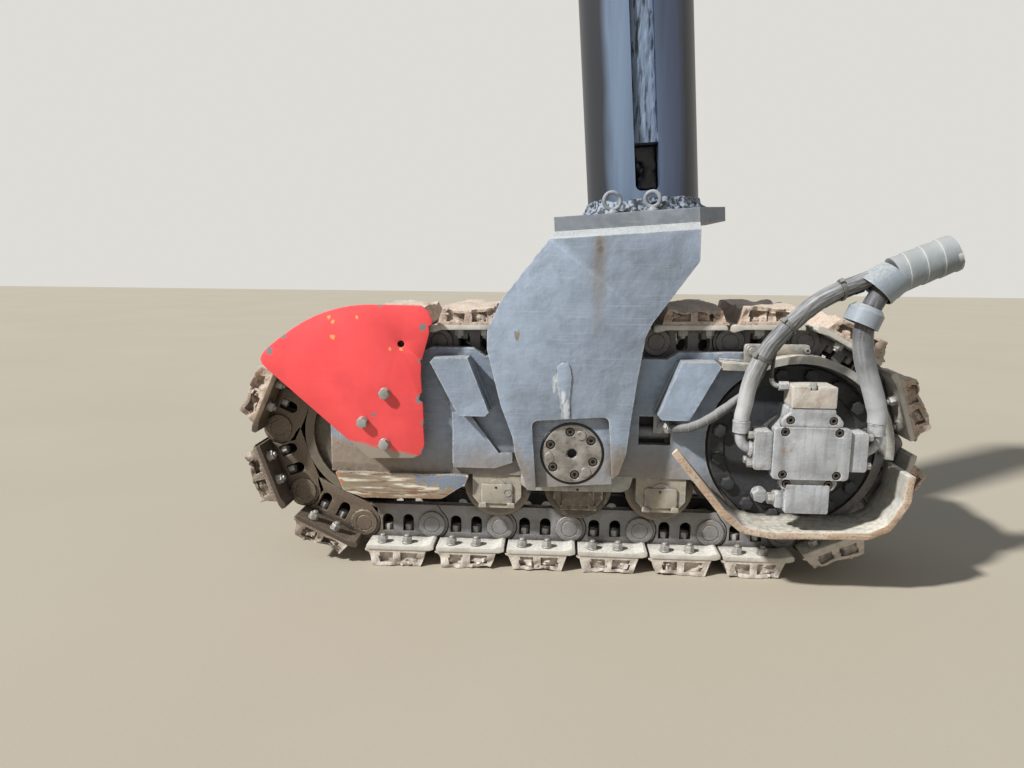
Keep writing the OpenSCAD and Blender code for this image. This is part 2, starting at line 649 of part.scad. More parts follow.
track();
track_frame();
idler();
idler_carriage();
roller(0);  // roller_1
roller(1);  // roller_2
roller(2);  // roller_3
roller_shaft(0);  // roller_shaft_1
roller_shaft(1);  // roller_shaft_2
roller_shaft(2);  // roller_shaft_3
sprocket();
final_drive();
front_guard();
front_skid(-1);  // front_skid_near
front_skid(1);  // front_skid_far
stop_block(-1, 1);  // stop_front_near
stop_block(-1, -1);  // stop_rear_near
stop_block(1, 1);  // stop_front_far
stop_block(1, -1);  // stop_rear_far
arch_guard();
lower_guard();
clamp_bracket();
motor_body();
motor_cover();
port_flange_at(-1);  // port_flange_left
port_flange_at(1);  // port_flange_right
elbow(-1);  // elbow_left
elbow(1);  // elbow_right
drain_gland();
case_fitting();
hose_left();
hose_right();
hose_drain();
hose_case();
hose_cap();
sleeve_boot();
sleeve_end();
column();
head_plate();
cheek(-1);  // cheek_near
cheek(1);  // cheek_far
yoke_web(column_x - 110);  // yoke_web_front
yoke_web(column_x + 90);  // yoke_web_rear
bearing_block(-1);  // bearing_block_near
bearing_block(1);  // bearing_block_far
pivot_pin(-1);  // pivot_pin_near
pivot_pin(1);  // pivot_pin_far
pin_cap(-1);  // pin_cap_near
pin_cap(1);  // pin_cap_far
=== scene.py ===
# Crawler track unit with its lifting leg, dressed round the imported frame. Metres.
import math
import random

import bmesh
import bpy
from mathutils import Matrix, Vector, noise


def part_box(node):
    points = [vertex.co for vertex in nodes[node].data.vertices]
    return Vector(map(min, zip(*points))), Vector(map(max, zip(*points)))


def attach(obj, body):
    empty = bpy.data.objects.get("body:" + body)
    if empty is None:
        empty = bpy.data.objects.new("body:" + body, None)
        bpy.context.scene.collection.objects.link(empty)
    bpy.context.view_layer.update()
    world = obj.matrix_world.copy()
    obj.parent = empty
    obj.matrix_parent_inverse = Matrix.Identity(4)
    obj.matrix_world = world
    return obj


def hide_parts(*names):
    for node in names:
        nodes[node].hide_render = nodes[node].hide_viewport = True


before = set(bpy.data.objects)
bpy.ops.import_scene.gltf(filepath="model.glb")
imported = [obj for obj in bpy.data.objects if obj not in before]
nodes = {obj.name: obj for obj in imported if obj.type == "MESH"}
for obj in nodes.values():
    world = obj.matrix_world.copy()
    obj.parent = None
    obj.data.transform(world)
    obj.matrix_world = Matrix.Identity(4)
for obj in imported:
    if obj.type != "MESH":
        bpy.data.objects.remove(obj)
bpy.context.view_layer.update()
random.seed(11)
scene = bpy.context.scene
mm = 0.001

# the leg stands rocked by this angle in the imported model, about the pivot
restRock = math.radians(4.2)
pivot = Vector((0, 0, 0.305))
leg = Matrix.Translation(pivot) @ Matrix.Rotation(-restRock, 4, "Y") @ Matrix.Translation(-pivot)

# where the photograph was taken from and how the camera was turned
cameraView = {
    "place": (-0.033, -1.872, 0.752),
    "yaw": 3.61,
    "pitch": 9.65,
    "roll": 0.52,
    "focalPixels": 754.7,
    "frameWidth": 1024,
    "sensor": 36,
}


def addObject(name, data):
    made = bpy.data.objects.new(name, data)
    scene.collection.objects.link(made)
    return made


def setCamera(view):
    data = bpy.data.cameras.new("photoCamera")
    data.sensor_width = view["sensor"]
    data.lens = view["sensor"] * view["focalPixels"] / view["frameWidth"]
    scene.camera = addObject("photoCamera", data)
    # a camera looks down at first: it is rolled, raised to the horizon less the pitch, and turned
    turns = (("yaw", "Z", 1, 0), ("pitch", "X", -1, 90), ("roll", "Z", 1, 0))
    place = Matrix.Translation(view["place"])
    for name, axis, sign, start in turns:
        place = place @ Matrix.Rotation(math.radians(start + sign * view[name]), 4, axis)
    scene.camera.matrix_world = place


setCamera(cameraView)
print("camera set")


# small tools for materials: most give back the socket that carries their result

def toLinear(hexText):
    channels = [int(hexText[i:i + 2], 16) / 255 for i in (1, 3, 5)]
    return tuple(c / 12.92 if c <= 0.04045 else ((c + 0.055) / 1.055) ** 2.4 for c in channels) + (1,)


def addNode(tree, kind, settings=None, links=None):
    node = tree.nodes.new("ShaderNode" + kind)
    for key, value in (settings or {}).items():
        if isinstance(key, str) and key.islower():
            setattr(node, key, value)
        else:
            node.inputs[key].default_value = toLinear(value) if isinstance(value, str) else value
    for key, source in (links or {}).items():
        tree.links.new(source, node.inputs[key])
    return node


def startMaterial(name):
    material = bpy.data.materials.new(name)
    material.use_nodes = True
    tree = material.node_tree
    tree.nodes.clear()
    shader = addNode(tree, "BsdfPrincipled")
    addNode(tree, "OutputMaterial", links={"Surface": shader.outputs[0]})
    return material, tree, shader, addNode(tree, "TexCoord").outputs["Object"]


def maths(tree, operation, *terms, kind="Math", result=0):
    # terms are sockets or plain numbers
    numbers = {k: term for k, term in enumerate(terms) if not isinstance(term, bpy.types.NodeSocket)}
    sockets = {k: term for k, term in enumerate(terms) if isinstance(term, bpy.types.NodeSocket)}
    return addNode(tree, kind, {"operation": operation, **numbers}, sockets).outputs[result]


def vectors(tree, operation, *terms):
    return maths(tree, operation, *terms, kind="VectorMath",
                 result="Value" if operation in ("DOT_PRODUCT", "LENGTH") else 0)


def ramp(tree, value, low, high, top=1, foot=0):
    # stretched so that low becomes foot and high becomes top
    return addNode(tree, "MapRange", {"From Min": low, "From Max": high, "To Min": foot, "To Max": top},
                   {"Value": value}).outputs[0]


def blend(tree, below, colour, mask):
    # lays one colour over what is below, as far as the mask lets it show
    plain = isinstance(below, str)
    return addNode(tree, "Mix", {"data_type": "RGBA", 7: colour, **({6: below} if plain else {})},
                   {0: mask, **({} if plain else {6: below})}).outputs[2]


def heightOf(tree, vector):
    return addNode(tree, "SeparateXYZ", links={0: vector}).outputs["Z"]


def facingUp(tree):
    return heightOf(tree, addNode(tree, "NewGeometry").outputs["Normal"])


def grain(tree, place, size, stretch=(1, 1, 1), detail=4, turn=(0, 0, 0)):
    # noise whose blotches are about as wide as size, in metres
    fitted = addNode(tree, "Mapping", {"Scale": stretch, "Rotation": turn}, {"Vector": place})
    return addNode(tree, "TexNoise", {"Scale": 1 / size, "Detail": detail},
                   {"Vector": fitted.outputs[0]}).outputs[0]


def openAir(tree, reach):
    # open to the air 1, deep in a corner 0
    return addNode(tree, "AmbientOcclusion", {"samples": 4, "Distance": reach}).outputs["AO"]


def roundedNormal(tree, radius):
    return addNode(tree, "Bevel", {"samples": 3, "Radius": radius}).outputs[0]


def finishMaterial(tree, shader, colour, rough, layers, normal=None):
    # layers of relief, each a height with its strength and depth, one over the other
    tree.links.new(colour, shader.inputs["Base Color"])
    if isinstance(rough, bpy.types.NodeSocket):
        tree.links.new(rough, shader.inputs["Roughness"])
    else:
        shader.inputs["Roughness"].default_value = rough
    for height, strength, depth in layers:
        links = {"Height": height, "Normal": normal} if normal else {"Height": height}
        normal = addNode(tree, "Bump", {"Strength": strength, "Distance": depth}, links).outputs[0]
    tree.links.new(normal, shader.inputs["Normal"])


def edgeMask(tree, radius):
    # 1 on the edges of the piece, 0 on its flats
    flat = addNode(tree, "NewGeometry").outputs["Normal"]
    return ramp(tree, vectors(tree, "DOT_PRODUCT", roundedNormal(tree, radius), flat), *spans["edge"])


def scratchLines(tree, place, turn, gather):
    # thin scratches in one direction, gathered where something rubbed past
    line = ramp(tree, grain(tree, place, 0.0026, (0.012, 0.4, 1), 2, turn), *spans["scratch"])
    return maths(tree, "MULTIPLY", line, ramp(tree, gather, *spans["gather"]))


def roundMarks(tree, place, shape, soft, rag, y, spots):
    # knocked or dirty places with a ragged outline: millimetres, each spot as X, Z and radius
    ragged = grain(tree, place, rag * mm, shape, 5)
    mask = None
    for x, z, size in spots:
        radius = size * mm
        away = vectors(tree, "SUBTRACT", place, (x * mm, y * mm, z * mm))
        away = vectors(tree, "LENGTH", vectors(tree, "MULTIPLY", away, shape))
        away = maths(tree, "MULTIPLY_ADD", ragged, -radius * 2.2, away)
        here = ramp(tree, away, soft * mm - radius * 0.3, -radius * 0.3)
        mask = here if mask is None else maths(tree, "MAXIMUM", mask, here)
    return mask


def beyondLine(tree, place, point, normal, ragged, soft):
    # everything on the far side of a line, its border torn lengthwise: lengths in millimetres
    torn = grain(tree, place, 0.016, (0.25, 1, 1), 6)
    off = vectors(tree, "SUBTRACT", place, tuple(c * mm for c in point))
    off = vectors(tree, "DOT_PRODUCT", off, normal)
    off = maths(tree, "MULTIPLY_ADD", torn, ragged * mm, off)
    return ramp(tree, off, ragged * mm * 0.5, ragged * mm * 0.5 + soft * mm)


# what a worn surface has when its look doesn't say otherwise
commonWear = {
    "blotch": 0.18, "grit": 0.012, "mottleStretch": (1, 1, 1), "mottleSoft": 0.12, "mottleAmount": 0.7,
    "streak": 0.03, "streakAmount": 0.4, "scratchSets": 2, "scratchAmount": 0.55, "spotStretch": (1, 1, 1),
    "spotSoft": 0.05, "lines": (), "marks": (), "edgeWidth": 0.005, "edgeAmount": 0.85, "filmAmount": 0.15,
    "dustAmount": 0.8, "grime": "#5d5145", "grimeReach": 0.045, "grimeAmount": 0.75, "metal": 0,
    "roundEdge": 0.0018, "bump": 0.3, "bumpDepth": 0.0014, "dentStretch": (1, 1, 1), "dentBump": 0.6,
}
# how much of a noise or a slope counts as none and as full
spans = {
    "tone": (0.38, 0.64), "streak": (0.5, 0.72), "chip": (0.4, 0.55), "dust": (0.3, 0.62), "up": (0.25, 0.9),
    "grime": (0.8, 0.38), "scratch": (0.62, 0.74), "gather": (0.42, 0.62), "edge": (0.985, 0.72),
}


def worn(name, tints, **special):
    # one build-up for painted, cast and rolled steel: base, blotches, streaks, scratches, bare edges that
    # also carry a painted highlight, stains near the ground, grime and painted shade in the corners and dust
    # on what faces up;
    # the tints are those of base, shade, scratches, edges and dust
    look = {**commonWear, **dict(zip(("base", "shade", "scratch", "edge", "dust"), tints.split())), **special}
    material, tree, shader, place = startMaterial(name)
    broad = grain(tree, place, look["blotch"], detail=6)
    fine = grain(tree, place, look["grit"], detail=6)
    colour = blend(tree, look["base"], look["shade"], ramp(tree, broad, *spans["tone"]))
    if "mottle" in look:
        patchy = grain(tree, place, look["mottleSize"], look["mottleStretch"], 6)
        patchy = ramp(tree, patchy, 0.5, 0.5 + look["mottleSoft"], look["mottleAmount"])
        colour = blend(tree, colour, look["mottle"], patchy)
    streak = grain(tree, place, look["streak"], (1, 1, 0.08))
    streak = ramp(tree, streak, *spans["streak"], look["streakAmount"])
    colour = blend(tree, colour, look.get("streakColour", look["shade"]), streak)
    for number in range(look["scratchSets"]):
        lines = scratchLines(tree, place, (0, 0.06 + 1.1 * number, 0.2 * number), broad)
        colour = blend(tree, colour, look["scratch"], maths(tree, "MULTIPLY", lines, look["scratchAmount"]))
    if "spot" in look:
        spots = grain(tree, place, look["spotSize"], look["spotStretch"], 5)
        spots = ramp(tree, spots, look["spotFrom"], look["spotFrom"] + look["spotSoft"])
        colour = blend(tree, colour, look["spot"], spots)
    for tint, *line in look["lines"]:
        colour = blend(tree, colour, tint, beyondLine(tree, place, *line))
    for tint, *marks in look["marks"]:
        colour = blend(tree, colour, tint, roundMarks(tree, place, *marks))
    # bare worn edges and a painted highlight: the edge tint laid along every edge, broken by fine noise
    edgeWearAndHighlight = ramp(tree, fine, *spans["chip"], look["edgeAmount"])
    edgeWearAndHighlight = maths(tree, "MULTIPLY", edgeMask(tree, look["edgeWidth"]), edgeWearAndHighlight)
    colour = blend(tree, colour, look["edge"], edgeWearAndHighlight)
    if "stain" in look:
        low = maths(tree, "MULTIPLY_ADD", broad, look["stainWander"], heightOf(tree, place))
        low = ramp(tree, low, look["stainTop"], look["stainFoot"], look["stainAmount"])
        colour = blend(tree, colour, look["stain"], low)
    settled = ramp(tree, fine, *spans["dust"], look["dustAmount"], look["filmAmount"])
    film = ramp(tree, ramp(tree, facingUp(tree), *spans["up"]), 0, 1, 1, look["filmAmount"])
    colour = blend(tree, colour, look["dust"], maths(tree, "MULTIPLY", settled, film))
    # grime and painted shade: the grime tint laid where ambient occlusion finds corners and recesses, broken
    # by noise
    grimeAndShade = maths(tree, "MULTIPLY_ADD", fine, 0.5, -0.25)
    grimeAndShade = maths(tree, "ADD", openAir(tree, look["grimeReach"]), grimeAndShade)
    colour = blend(tree, colour, look["grime"], ramp(tree, grimeAndShade, *spans["grime"], look["grimeAmount"]))
    shader.inputs["Metallic"].default_value = look["metal"]
    layers = [(fine, look["bump"], look["bumpDepth"])]
    if "dents" in look:
        dents = grain(tree, place, look["dents"], look["dentStretch"])
        layers.append((dents, look["dentBump"], look["dents"] * 0.16))
    finishMaterial(tree, shader, colour, ramp(tree, fine, 0, 1, look["rough"] + 0.14, look["rough"] - 0.08),
                   layers, roundedNormal(tree, look["roundEdge"]))
    return material


def clothTube(name, **look):
    # sleeve or wrap on a hose: the weave follows the piece's own lengthwise attribute
    material, tree, shader, place = startMaterial(name)
    along, around = (addNode(tree, "Attribute", {"attribute_name": way}).outputs["Fac"]
                     for way in ("along", "around"))
    flat = addNode(tree, "CombineXYZ", links={0: along, 1: around}).outputs[0]
    rib = addNode(tree, "TexWave", {"Scale": 0.314 / look["thread"], "Distortion": 0.6, "Detail": 1},
                  {"Vector": flat}).outputs["Fac"]
    blot = grain(tree, place, 0.05)
    grit = grain(tree, place, 0.004, detail=6)
    colour = blend(tree, look["base"], look["shade"], ramp(tree, blot, 0.35, 0.68))
    colour = blend(tree, colour, look["shade"], ramp(tree, grit, 0.55, 0.7, 0.5))
    colour = blend(tree, colour, look["dust"], ramp(tree, facingUp(tree), -0.2, 0.9, look["dustAmount"]))
    if "rubbed" in look:
        # lengthwise streaks: pale on the proud strands, worn and a painted highlight, and darker between
        strand = grain(tree, flat, 0.0045, (0.10, 1, 1), 6)
        colour = blend(tree, colour, look["rubbed"], ramp(tree, strand, 0.48, 0.74, 0.6))
        colour = blend(tree, colour, look["hidden"], ramp(tree, strand, 0.48, 0.30, 0.6))
    if "powder" in look:
        # paler low down: stone dust thrown up from the shoes, and painted light on the lower part
        rise = maths(tree, "MULTIPLY_ADD", blot, 0.12, heightOf(tree, place))
        colour = blend(tree, colour, look["powder"], ramp(tree, rise, 0.64, 0.52, 0.72))
    if "seam" in look:
        # the overlap of each turn, which runs round the sleeve as a screw line
        turns = maths(tree, "ADD", maths(tree, "DIVIDE", along, look["seamTurn"]),
                      maths(tree, "DIVIDE", around, look["girth"]))
        colour = blend(tree, colour, look["seam"], ramp(tree, maths(tree, "FRACT", turns), 0.07, 0.02, 0.7))
    # painted shade: near black where ambient occlusion finds creases and the gaps between hoses
    colour = blend(tree, colour, "#23221f", ramp(tree, openAir(tree, 0.025), 0.75, 0.35, 0.95))
    shader.inputs["Sheen Weight"].default_value = 0.2
    finishMaterial(tree, shader, colour, look["rough"],
                   [(rib, 0.35, look["thread"] * 0.3), (grit, 0.4, 0.001)])
    return material


# machine enamel sprayed on mill plate: chalky blue grey, rubbed bright, painted highlight on the edges, brown
# road dirt low down
framePaint = worn("machineEnamel", "#98a6b8 #8592a3 #c9ced3 #e0ddd4 #c4bfb4",
    stain="#85786a", mottle="#76818f", mottleSize=0.05, mottleAmount=0.4, grime="#453d34", rough=0.5,
    stainTop=0.56, stainFoot=0.43, stainAmount=0.75, stainWander=0.42, dustAmount=0.85, filmAmount=0.1,
    edgeWidth=0.0055, edgeAmount=1.0, dents=0.06, scratchAmount=0.4,
    lines=[("#8f7f6f", (-450, -130, 300), (-0.28, 0, -0.96), 50, 30),
           ("#6f5e4e", (-450, -130, 252), (-0.1, 0, -0.995), 35, 8)],
    marks=[("#7d7365", (1, 1, 0.55), 2, 6, -203, [(-128, 578, 6)]),
           ("#7f7f80", (1, 1, 0.11), 20, 8, -203, [(50, 752, 5)]),
           ("#746b60", (1, 1, 0.6), 4, 6, -203, [(48, 782, 4), (51, 768, 4)]),
           ("#7b6f61", (1, 1, 0.6), 30, 10, -203, [(-141, 268, 22), (109, 268, 20)]),
           ("#ccd1d4", (1, 1, 0.3), 3, 3, -206, [(-43, 470, 5), (-16, 408, 6), (-22, 440, 4)])])
# the same enamel under road dust, on the strip that guards the drive from below
dustyPaint = worn("dustyEnamel", "#959a9c #8a8a85 #c9ced3 #d8d3c8 #d8d0c0",
    mottle="#a19684", mottleSize=0.04, grime="#4a4239", rough=0.65, dustAmount=1.0, filmAmount=0.35,
    edgeAmount=1.0, dents=0.03, grimeReach=0.06)
# roller seats: enamel gone under pale mud, brushed off the raised rims
muddyPaint = worn("muddyEnamel", "#a39a8b #8f8678 #c6beb0 #e2dbcc #cfc5b3",
    mottle="#7f8183", mottleSize=0.03, mottleAmount=0.6, grime="#3f372f", rough=0.75, dustAmount=1.0,
    filmAmount=0.2, edgeAmount=1.0, grimeReach=0.02, bump=0.5,
    # painted shade: the middle roller's seats darker under the yoke
    marks=[("#5d5247", (1, 0.1, 1), 6, 12, -100, [(0, 150, 112)])])
# the same enamel in a greyer batch, on the head plate
headPaint = worn("headEnamel", "#88909a #767d87 #b0b4b9 #b9bbbb #b4b1a8",
    mottle="#666c75", mottleSize=0.04, mottleAmount=0.5, rough=0.5)
# red guard enamel on steel sheet: even and bright, knocked off to bare steel at the edges
guardRed = worn("guardEnamel", "#fb5657 #ef4a4b #f97a76 #a8948f #dd8a80",
    rough=0.45, scratchAmount=0.3, edgeAmount=0.9, edgeWidth=0.003, bump=0.06, streakAmount=0.25,
    dustAmount=0.3, filmAmount=0.05, grimeAmount=0.3, mottle="#e2454b", mottleSize=0.1, mottleAmount=0.6,
    mottleSoft=0.2,
    lines=[("#9aa6a8", (-542, -179, 338), (-0.6, 0, -0.8), 45, 6),
           ("#a3978a", (-440, -179, 309), (-0.22, 0, -0.975), 30, 6),
           ("#8f8072", (-440, -179, 262), (-0.1, 0, -0.995), 30, 12)],
    marks=[("#7d8486", (1, 1, 1), 0.8, 6, -179, [(-343, 590, 9), (-352, 513, 5), (-353, 424, 12),
            (-345, 368, 6), (-703, 530, 9), (-668, 567, 8), (-441, 640, 6), (-347, 300, 6),
            (-462, 385, 5)]),
           ("#f0a35a", (1, 1, 1), 0.8, 6, -179, [(-560, 611, 5), (-552, 600, 5), (-553, 565, 6),
            (-495, 611, 4), (-420, 539, 4), (-395, 539, 4)])])
# black primer on cast iron: soaks up light, grey dust in the pores; also laid in hollows and holes as painted
# shade
blackPrimerAndShade = worn("blackPrimerAndPaintedShade", "#33363b #24262a #5a5e62 #5f5e5c #7f7a70",
    rough=0.55, dustAmount=0.6, filmAmount=0.14, grit=0.008, grime="#161617")
# cast iron wheels: brown dust on the sides, rims polished by the chain
wheelIron = worn("wheelCasting", "#83796c #6a6157 #a0978a #a09686 #a2988a",
    rough=0.6, metal=0.1, dustAmount=0.7, filmAmount=0.3, grime="#2f2a25", grimeAmount=0.85,
    lines=[("#665d4f", (-420, 0, 200), (-1, 0, 0), 50, 30)],
    # painted shade: the middle roller darker under the yoke
    marks=[("#45403b", (1, 0.1, 1), 6, 12, -100, [(0, 150, 112)])])
# forged and hardened chain links: grey where they rub, dried dust and painted shade in the corners
linkSteel = worn("forgedLink", "#8a8c90 #707277 #a9a9a8 #a99c8b #ab9b86",
    mottle="#5f5f62", mottleSize=0.03, mottleAmount=0.5, rough=0.5, metal=0.15, blotch=0.07, grit=0.006,
    dustAmount=0.85, filmAmount=0.25, bump=0.45, grime="#2c2824", grimeAmount=0.9, grimeReach=0.03,
    # brown dirt and painted shade: the links towards the idler darker
    lines=[("#5d5043", (-430, 0, 200), (-1, 0, 0), 120, 50)])
# rolled shoe plates: pale dust trodden on, brown where it flaked
shoePlateSteel = worn("dustyShoePlate", "#c6c1b7 #ada699 #d9d5cb #948b80 #dcd8cd",
    mottle="#9b9084", mottleSize=0.03, mottleAmount=0.55, rough=0.8, blotch=0.06, grit=0.007,
    dustAmount=0.9, filmAmount=0.4, bump=0.5, grime="#4d443b")
# the same plates where they come round the idler, painted dark brown as a painted shadow, darker still low
# down, hardly any dust
shoePlateShaded = worn("shadedShoePlate", "#75654f #544739 #96866f #8f7f6b #93836d",
    mottle="#453a30", mottleSize=0.03, rough=0.75, blotch=0.05, grit=0.006, dustAmount=0.5, filmAmount=0.1,
    bump=0.5, grime="#2c241d",
    lines=[("#4b3f35", (-700, 0, 360), (-0.3, 0, -0.95), 60, 40)])
# cast rubber road pads: torn, with stone dust pressed in and light splinters
padRubber = worn("roadPad", "#cbb9a8 #ad9583 #ece5da #e8dac8 #dccbb8",
    mottle="#957866", mottleSize=0.014, mottleAmount=0.8, rough=0.88, blotch=0.035, grit=0.005, bump=1.0,
    spot="#65544a", spotSize=0.008, spotFrom=0.63, filmAmount=0.25, dents=0.01, grime="#4c4036",
    grimeReach=0.02, scratchAmount=0.7,
    # painted light: paler below the bottom run; painted shadow: darker brown on the front pads
    lines=[("#cdc4b9", (0, 0, 140), (0, 0, -1), 50, 40),
           ("#695c4f", (-800, 0, 440), (-0.83, 0, -0.55), 50, 40)])
# skid bar ground on the road: white and brown streaks along the travel, some enamel left
wornRust = worn("scrapedSkid", "#93866f #776551 #e6dfd0 #ece5d8 #cfc4b2",
    mottle="#ece5d4", mottleSize=0.01, mottleStretch=(0.1, 1, 1), mottleAmount=0.85, rough=0.6, metal=0.1,
    blotch=0.06, grit=0.004, bump=0.5, dents=0.008, dentStretch=(0.15, 1, 1), scratchAmount=0.6,
    streakAmount=0.0, scratchSets=1, spot="#77543a", spotSize=0.006, spotStretch=(0.1, 1, 1),
    spotFrom=0.545,
    lines=[("#86694f", (-450, -150, 187), (0, 0, -1), 30, 10),
           ("#6f5f50", (-450, -150, 240), (0, 0, 1), 20, 6)],
    marks=[("#6f7c8c", (1, 1, 1), 1.5, 20, -150, [(-300, 219, 26), (-275, 221, 26), (-330, 222, 20),
            (-360, 225, 13)]),
           ("#b9703c", (1, 1, 1), 2, 6, -150, [(-562, 226, 8), (-553, 212, 7)])])
# flame-cut edge of the guard strip: even orange brown rust with pale flakes
edgeRust = worn("flameCutRust", "#c3b4a2 #a98d73 #ddd6ca #ece6da #d9cfbf",
    mottle="#98714f", mottleSize=0.007, mottleAmount=0.75, rough=0.8, blotch=0.1, grit=0.004, bump=0.8,
    dents=0.006, grimeAmount=0.3)
# grey primer on the cast motor: chalky, scuffed, with small rust blooms
motorPaint = worn("motorPrimer", "#b2b4b6 #94969a #dfe0e0 #f0efeb #cfcbc1",
    mottle="#7a7674", mottleSize=0.03, mottleSoft=0.28, mottleAmount=0.8, rough=0.5, blotch=0.05,
    grit=0.005, spot="#8f7361", spotSize=0.03, spotFrom=0.64, dustAmount=0.75, filmAmount=0.12, bump=0.6,
    grime="#3b3631", grimeReach=0.025, streak=0.01, streakColour="#74716f", streakAmount=0.6,
    edgeAmount=1.0, edgeWidth=0.004)
# bare cast block on the motor: pale casting skin with brown rust
blockRust = worn("rustedCasting", "#c6c0b7 #b0a698 #dcd8d0 #e4dfd6 #d6cfc2",
    mottle="#94735c", mottleSize=0.035, mottleSoft=0.2, mottleAmount=0.9, rough=0.75, blotch=0.03,
    grit=0.004, bump=0.7, grime="#4a3b30", grimeReach=0.02)
# turned steel cap: burnished, stained black with oil and dust, near black as painted shade in its holes and
# corners
capSteel = worn("groundCap", "#a19c96 #807a73 #ccc7c0 #d5d0c8 #a39b90",
    mottle="#3d3833", mottleSize=0.014, mottleAmount=0.8, rough=0.4, metal=0.35, blotch=0.03, grit=0.004,
    bump=0.6, dustAmount=0.5, grime="#1b1815", grimeAmount=1.0, grimeReach=0.022, streakAmount=0.2,
    mottleSoft=0.25)
# zinc plated screws and fittings gone dull and dusty
fittingZinc = worn("dullZinc", "#a8a8a5 #8e8d89 #c8c8c4 #d0cec8 #c2bbad",
    rough=0.42, metal=0.4, blotch=0.02, grit=0.003, edgeWidth=0.0015, roundEdge=0.0006, grime="#4a433b",
    grimeReach=0.01)
# blackened screws, worn to brown at the rims
screwBlack = worn("blackScrew", "#56504a #3d3936 #8a847c #a69d92 #8b8276",
    rough=0.45, metal=0.4, blotch=0.01, grit=0.003, edgeWidth=0.0015, roundEdge=0.0006, grime="#141211",
    grimeReach=0.008, grimeAmount=0.95)
# weld bead under the enamel: rippled, rubbed bright on its crown
weldPaint = worn("paintedWeld", "#a9b0b4 #959ca1 #cdd0d0 #dededa #c4c2bb",
    rough=0.45, blotch=0.02, grit=0.004, bump=0.5)
# woven polyester sleeve on the pressure hoses: dusty, its rubbed strands with a painted highlight
hoseSleeve = clothTube("wovenSleeve",
    base="#717274", shade="#535456", dust="#9b9b99", dustAmount=0.35, thread=0.0026, rough=0.45,
    rubbed="#cfcfcc", hidden="#343537", powder="#c2c2bf")
# the same sleeve painted darker all over, a painted shade on the right-hand hose, as dusty low down
sleeveShaded = clothTube("wovenSleeveShaded",
    base="#58595c", shade="#424346", dust="#85868a", dustAmount=0.35, thread=0.0026, rough=0.5,
    rubbed="#8f9092", hidden="#2f3032", powder="#bcbdbe")
# wrap of coated cloth wound round the drain hose
wrapCloth = clothTube("hoseWrap",
    base="#6f6f6e", shade="#525251", dust="#a9a8a3", dustAmount=0.6, thread=0.0024, rough=0.75,
    seam="#a5a5a1", seamTurn=0.022, girth=0.068)
# spiral wrap on the large sleeve: dusty grey, the seams rubbed pale
wrapSleeve = clothTube("wrappedSleeve",
    base="#8d9497", shade="#737a7e", dust="#b3b4ae", dustAmount=0.5, thread=0.003, rough=0.6,
    seam="#c9cac5", seamTurn=0.035, girth=0.248)
# black rubber case hose
hoseRubber = clothTube("caseHoseRubber",
    base="#343434", shade="#262626", dust="#77736b", dustAmount=0.5, thread=0.0015, rough=0.6)
# heat-shrunk polymer boot and cap: smooth light blue grey
bootRubber = worn("shrunkBoot", "#8a949d #7b858e #b9bec1 #c8cdcf #b9bab5",
    rough=0.38, blotch=0.06, grit=0.006, bump=0.2, scratchAmount=0.3, grimeReach=0.015)
# nylon ties, once black
tieNylon = worn("nylonTie", "#65655f #4d4d49 #8b8b84 #9c9b93 #a09c92",
    rough=0.45, blotch=0.01, grit=0.003, edgeWidth=0.001, roundEdge=0.0004, grimeReach=0.006)


def greasySteel(name, look):
    # ground column tube: painted light and shade, lighter on the left half and darker on the right, dark
    # grease film and painted shade down both flanks, dull grease smears
    material, tree, shader, place = startMaterial(name)
    smear = grain(tree, place, 0.05, (1, 1, 0.06), 4, (0, -restRock, 0))
    cloud = grain(tree, place, 0.16, (1, 1, 0.35), 3)
    side = vectors(tree, "SUBTRACT", place, leg @ Vector(look["axisPoint"]))
    side = vectors(tree, "DOT_PRODUCT", side, (math.cos(restRock), 0, math.sin(restRock)))
    side = maths(tree, "MULTIPLY_ADD", cloud, 0.05, side)
    # painted light and shade: the bright tint on the left half, the shaded tint on the right
    colour = blend(tree, look["bright"], look["shadedHalf"], ramp(tree, side, -0.02, 0.06))
    colour = blend(tree, colour, look["dull"], ramp(tree, smear, 0.42, 0.66, 0.7))
    # dark grease film and painted shade down both flanks of the round tube
    colour = blend(tree, colour, look["film"], ramp(tree, maths(tree, "ABSOLUTE", side), 0.072, 0.092))
    shader.inputs["Metallic"].default_value = 0.2
    finishMaterial(tree, shader, colour, ramp(tree, smear, 0, 1, 0.52, 0.30),
                   [(grain(tree, place, 0.006, detail=5), 0.15, 0.001)])
    return material


def grease(name, wet, dusty, lump, rough=0.6, skin=0.45, drawn=(1, 1, 1)):
    # wet dark wrinkles under a dull skin of dust
    material, tree, shader, place = startMaterial(name)
    fine = grain(tree, place, lump, drawn, 5)
    finishMaterial(tree, shader, blend(tree, wet, dusty, ramp(tree, fine, skin, skin + 0.12)), rough,
                   [(fine, 0.8, 0.003)])
    return material


columnSteel = greasySteel("greasedColumn", {
    "bright": "#697a90", "shadedHalf": "#5a6580", "dull": "#434e60", "film": "#2c2f34",
    "axisPoint": (0.225, 0, 1.0),
})
grooveGrease = grease("drawnGrease", "#20252d", "#74849b", 0.007, skin=0.36, drawn=(1, 1, 0.16))
# near-black grease, also a painted shade in the column's pocket and the gaps round the pivot caps
pocketGreaseShade = grease("blackGrease", "#050506", "#101114", 0.012, rough=0.4, skin=0.5)
footGrease = grease("dustyGrease", "#2d3137", "#8e98a4", 0.008)
eyeIron = worn("greasyEye", "#8f959b #6f757c #b5b9bd #b5b9bd #b3b6b8",
    mottle="#4a4f56", mottleSize=0.012, mottleSoft=0.2, rough=0.55, blotch=0.02, grit=0.004,
    grimeReach=0.01)
print("materials made")


# small tools for shapes

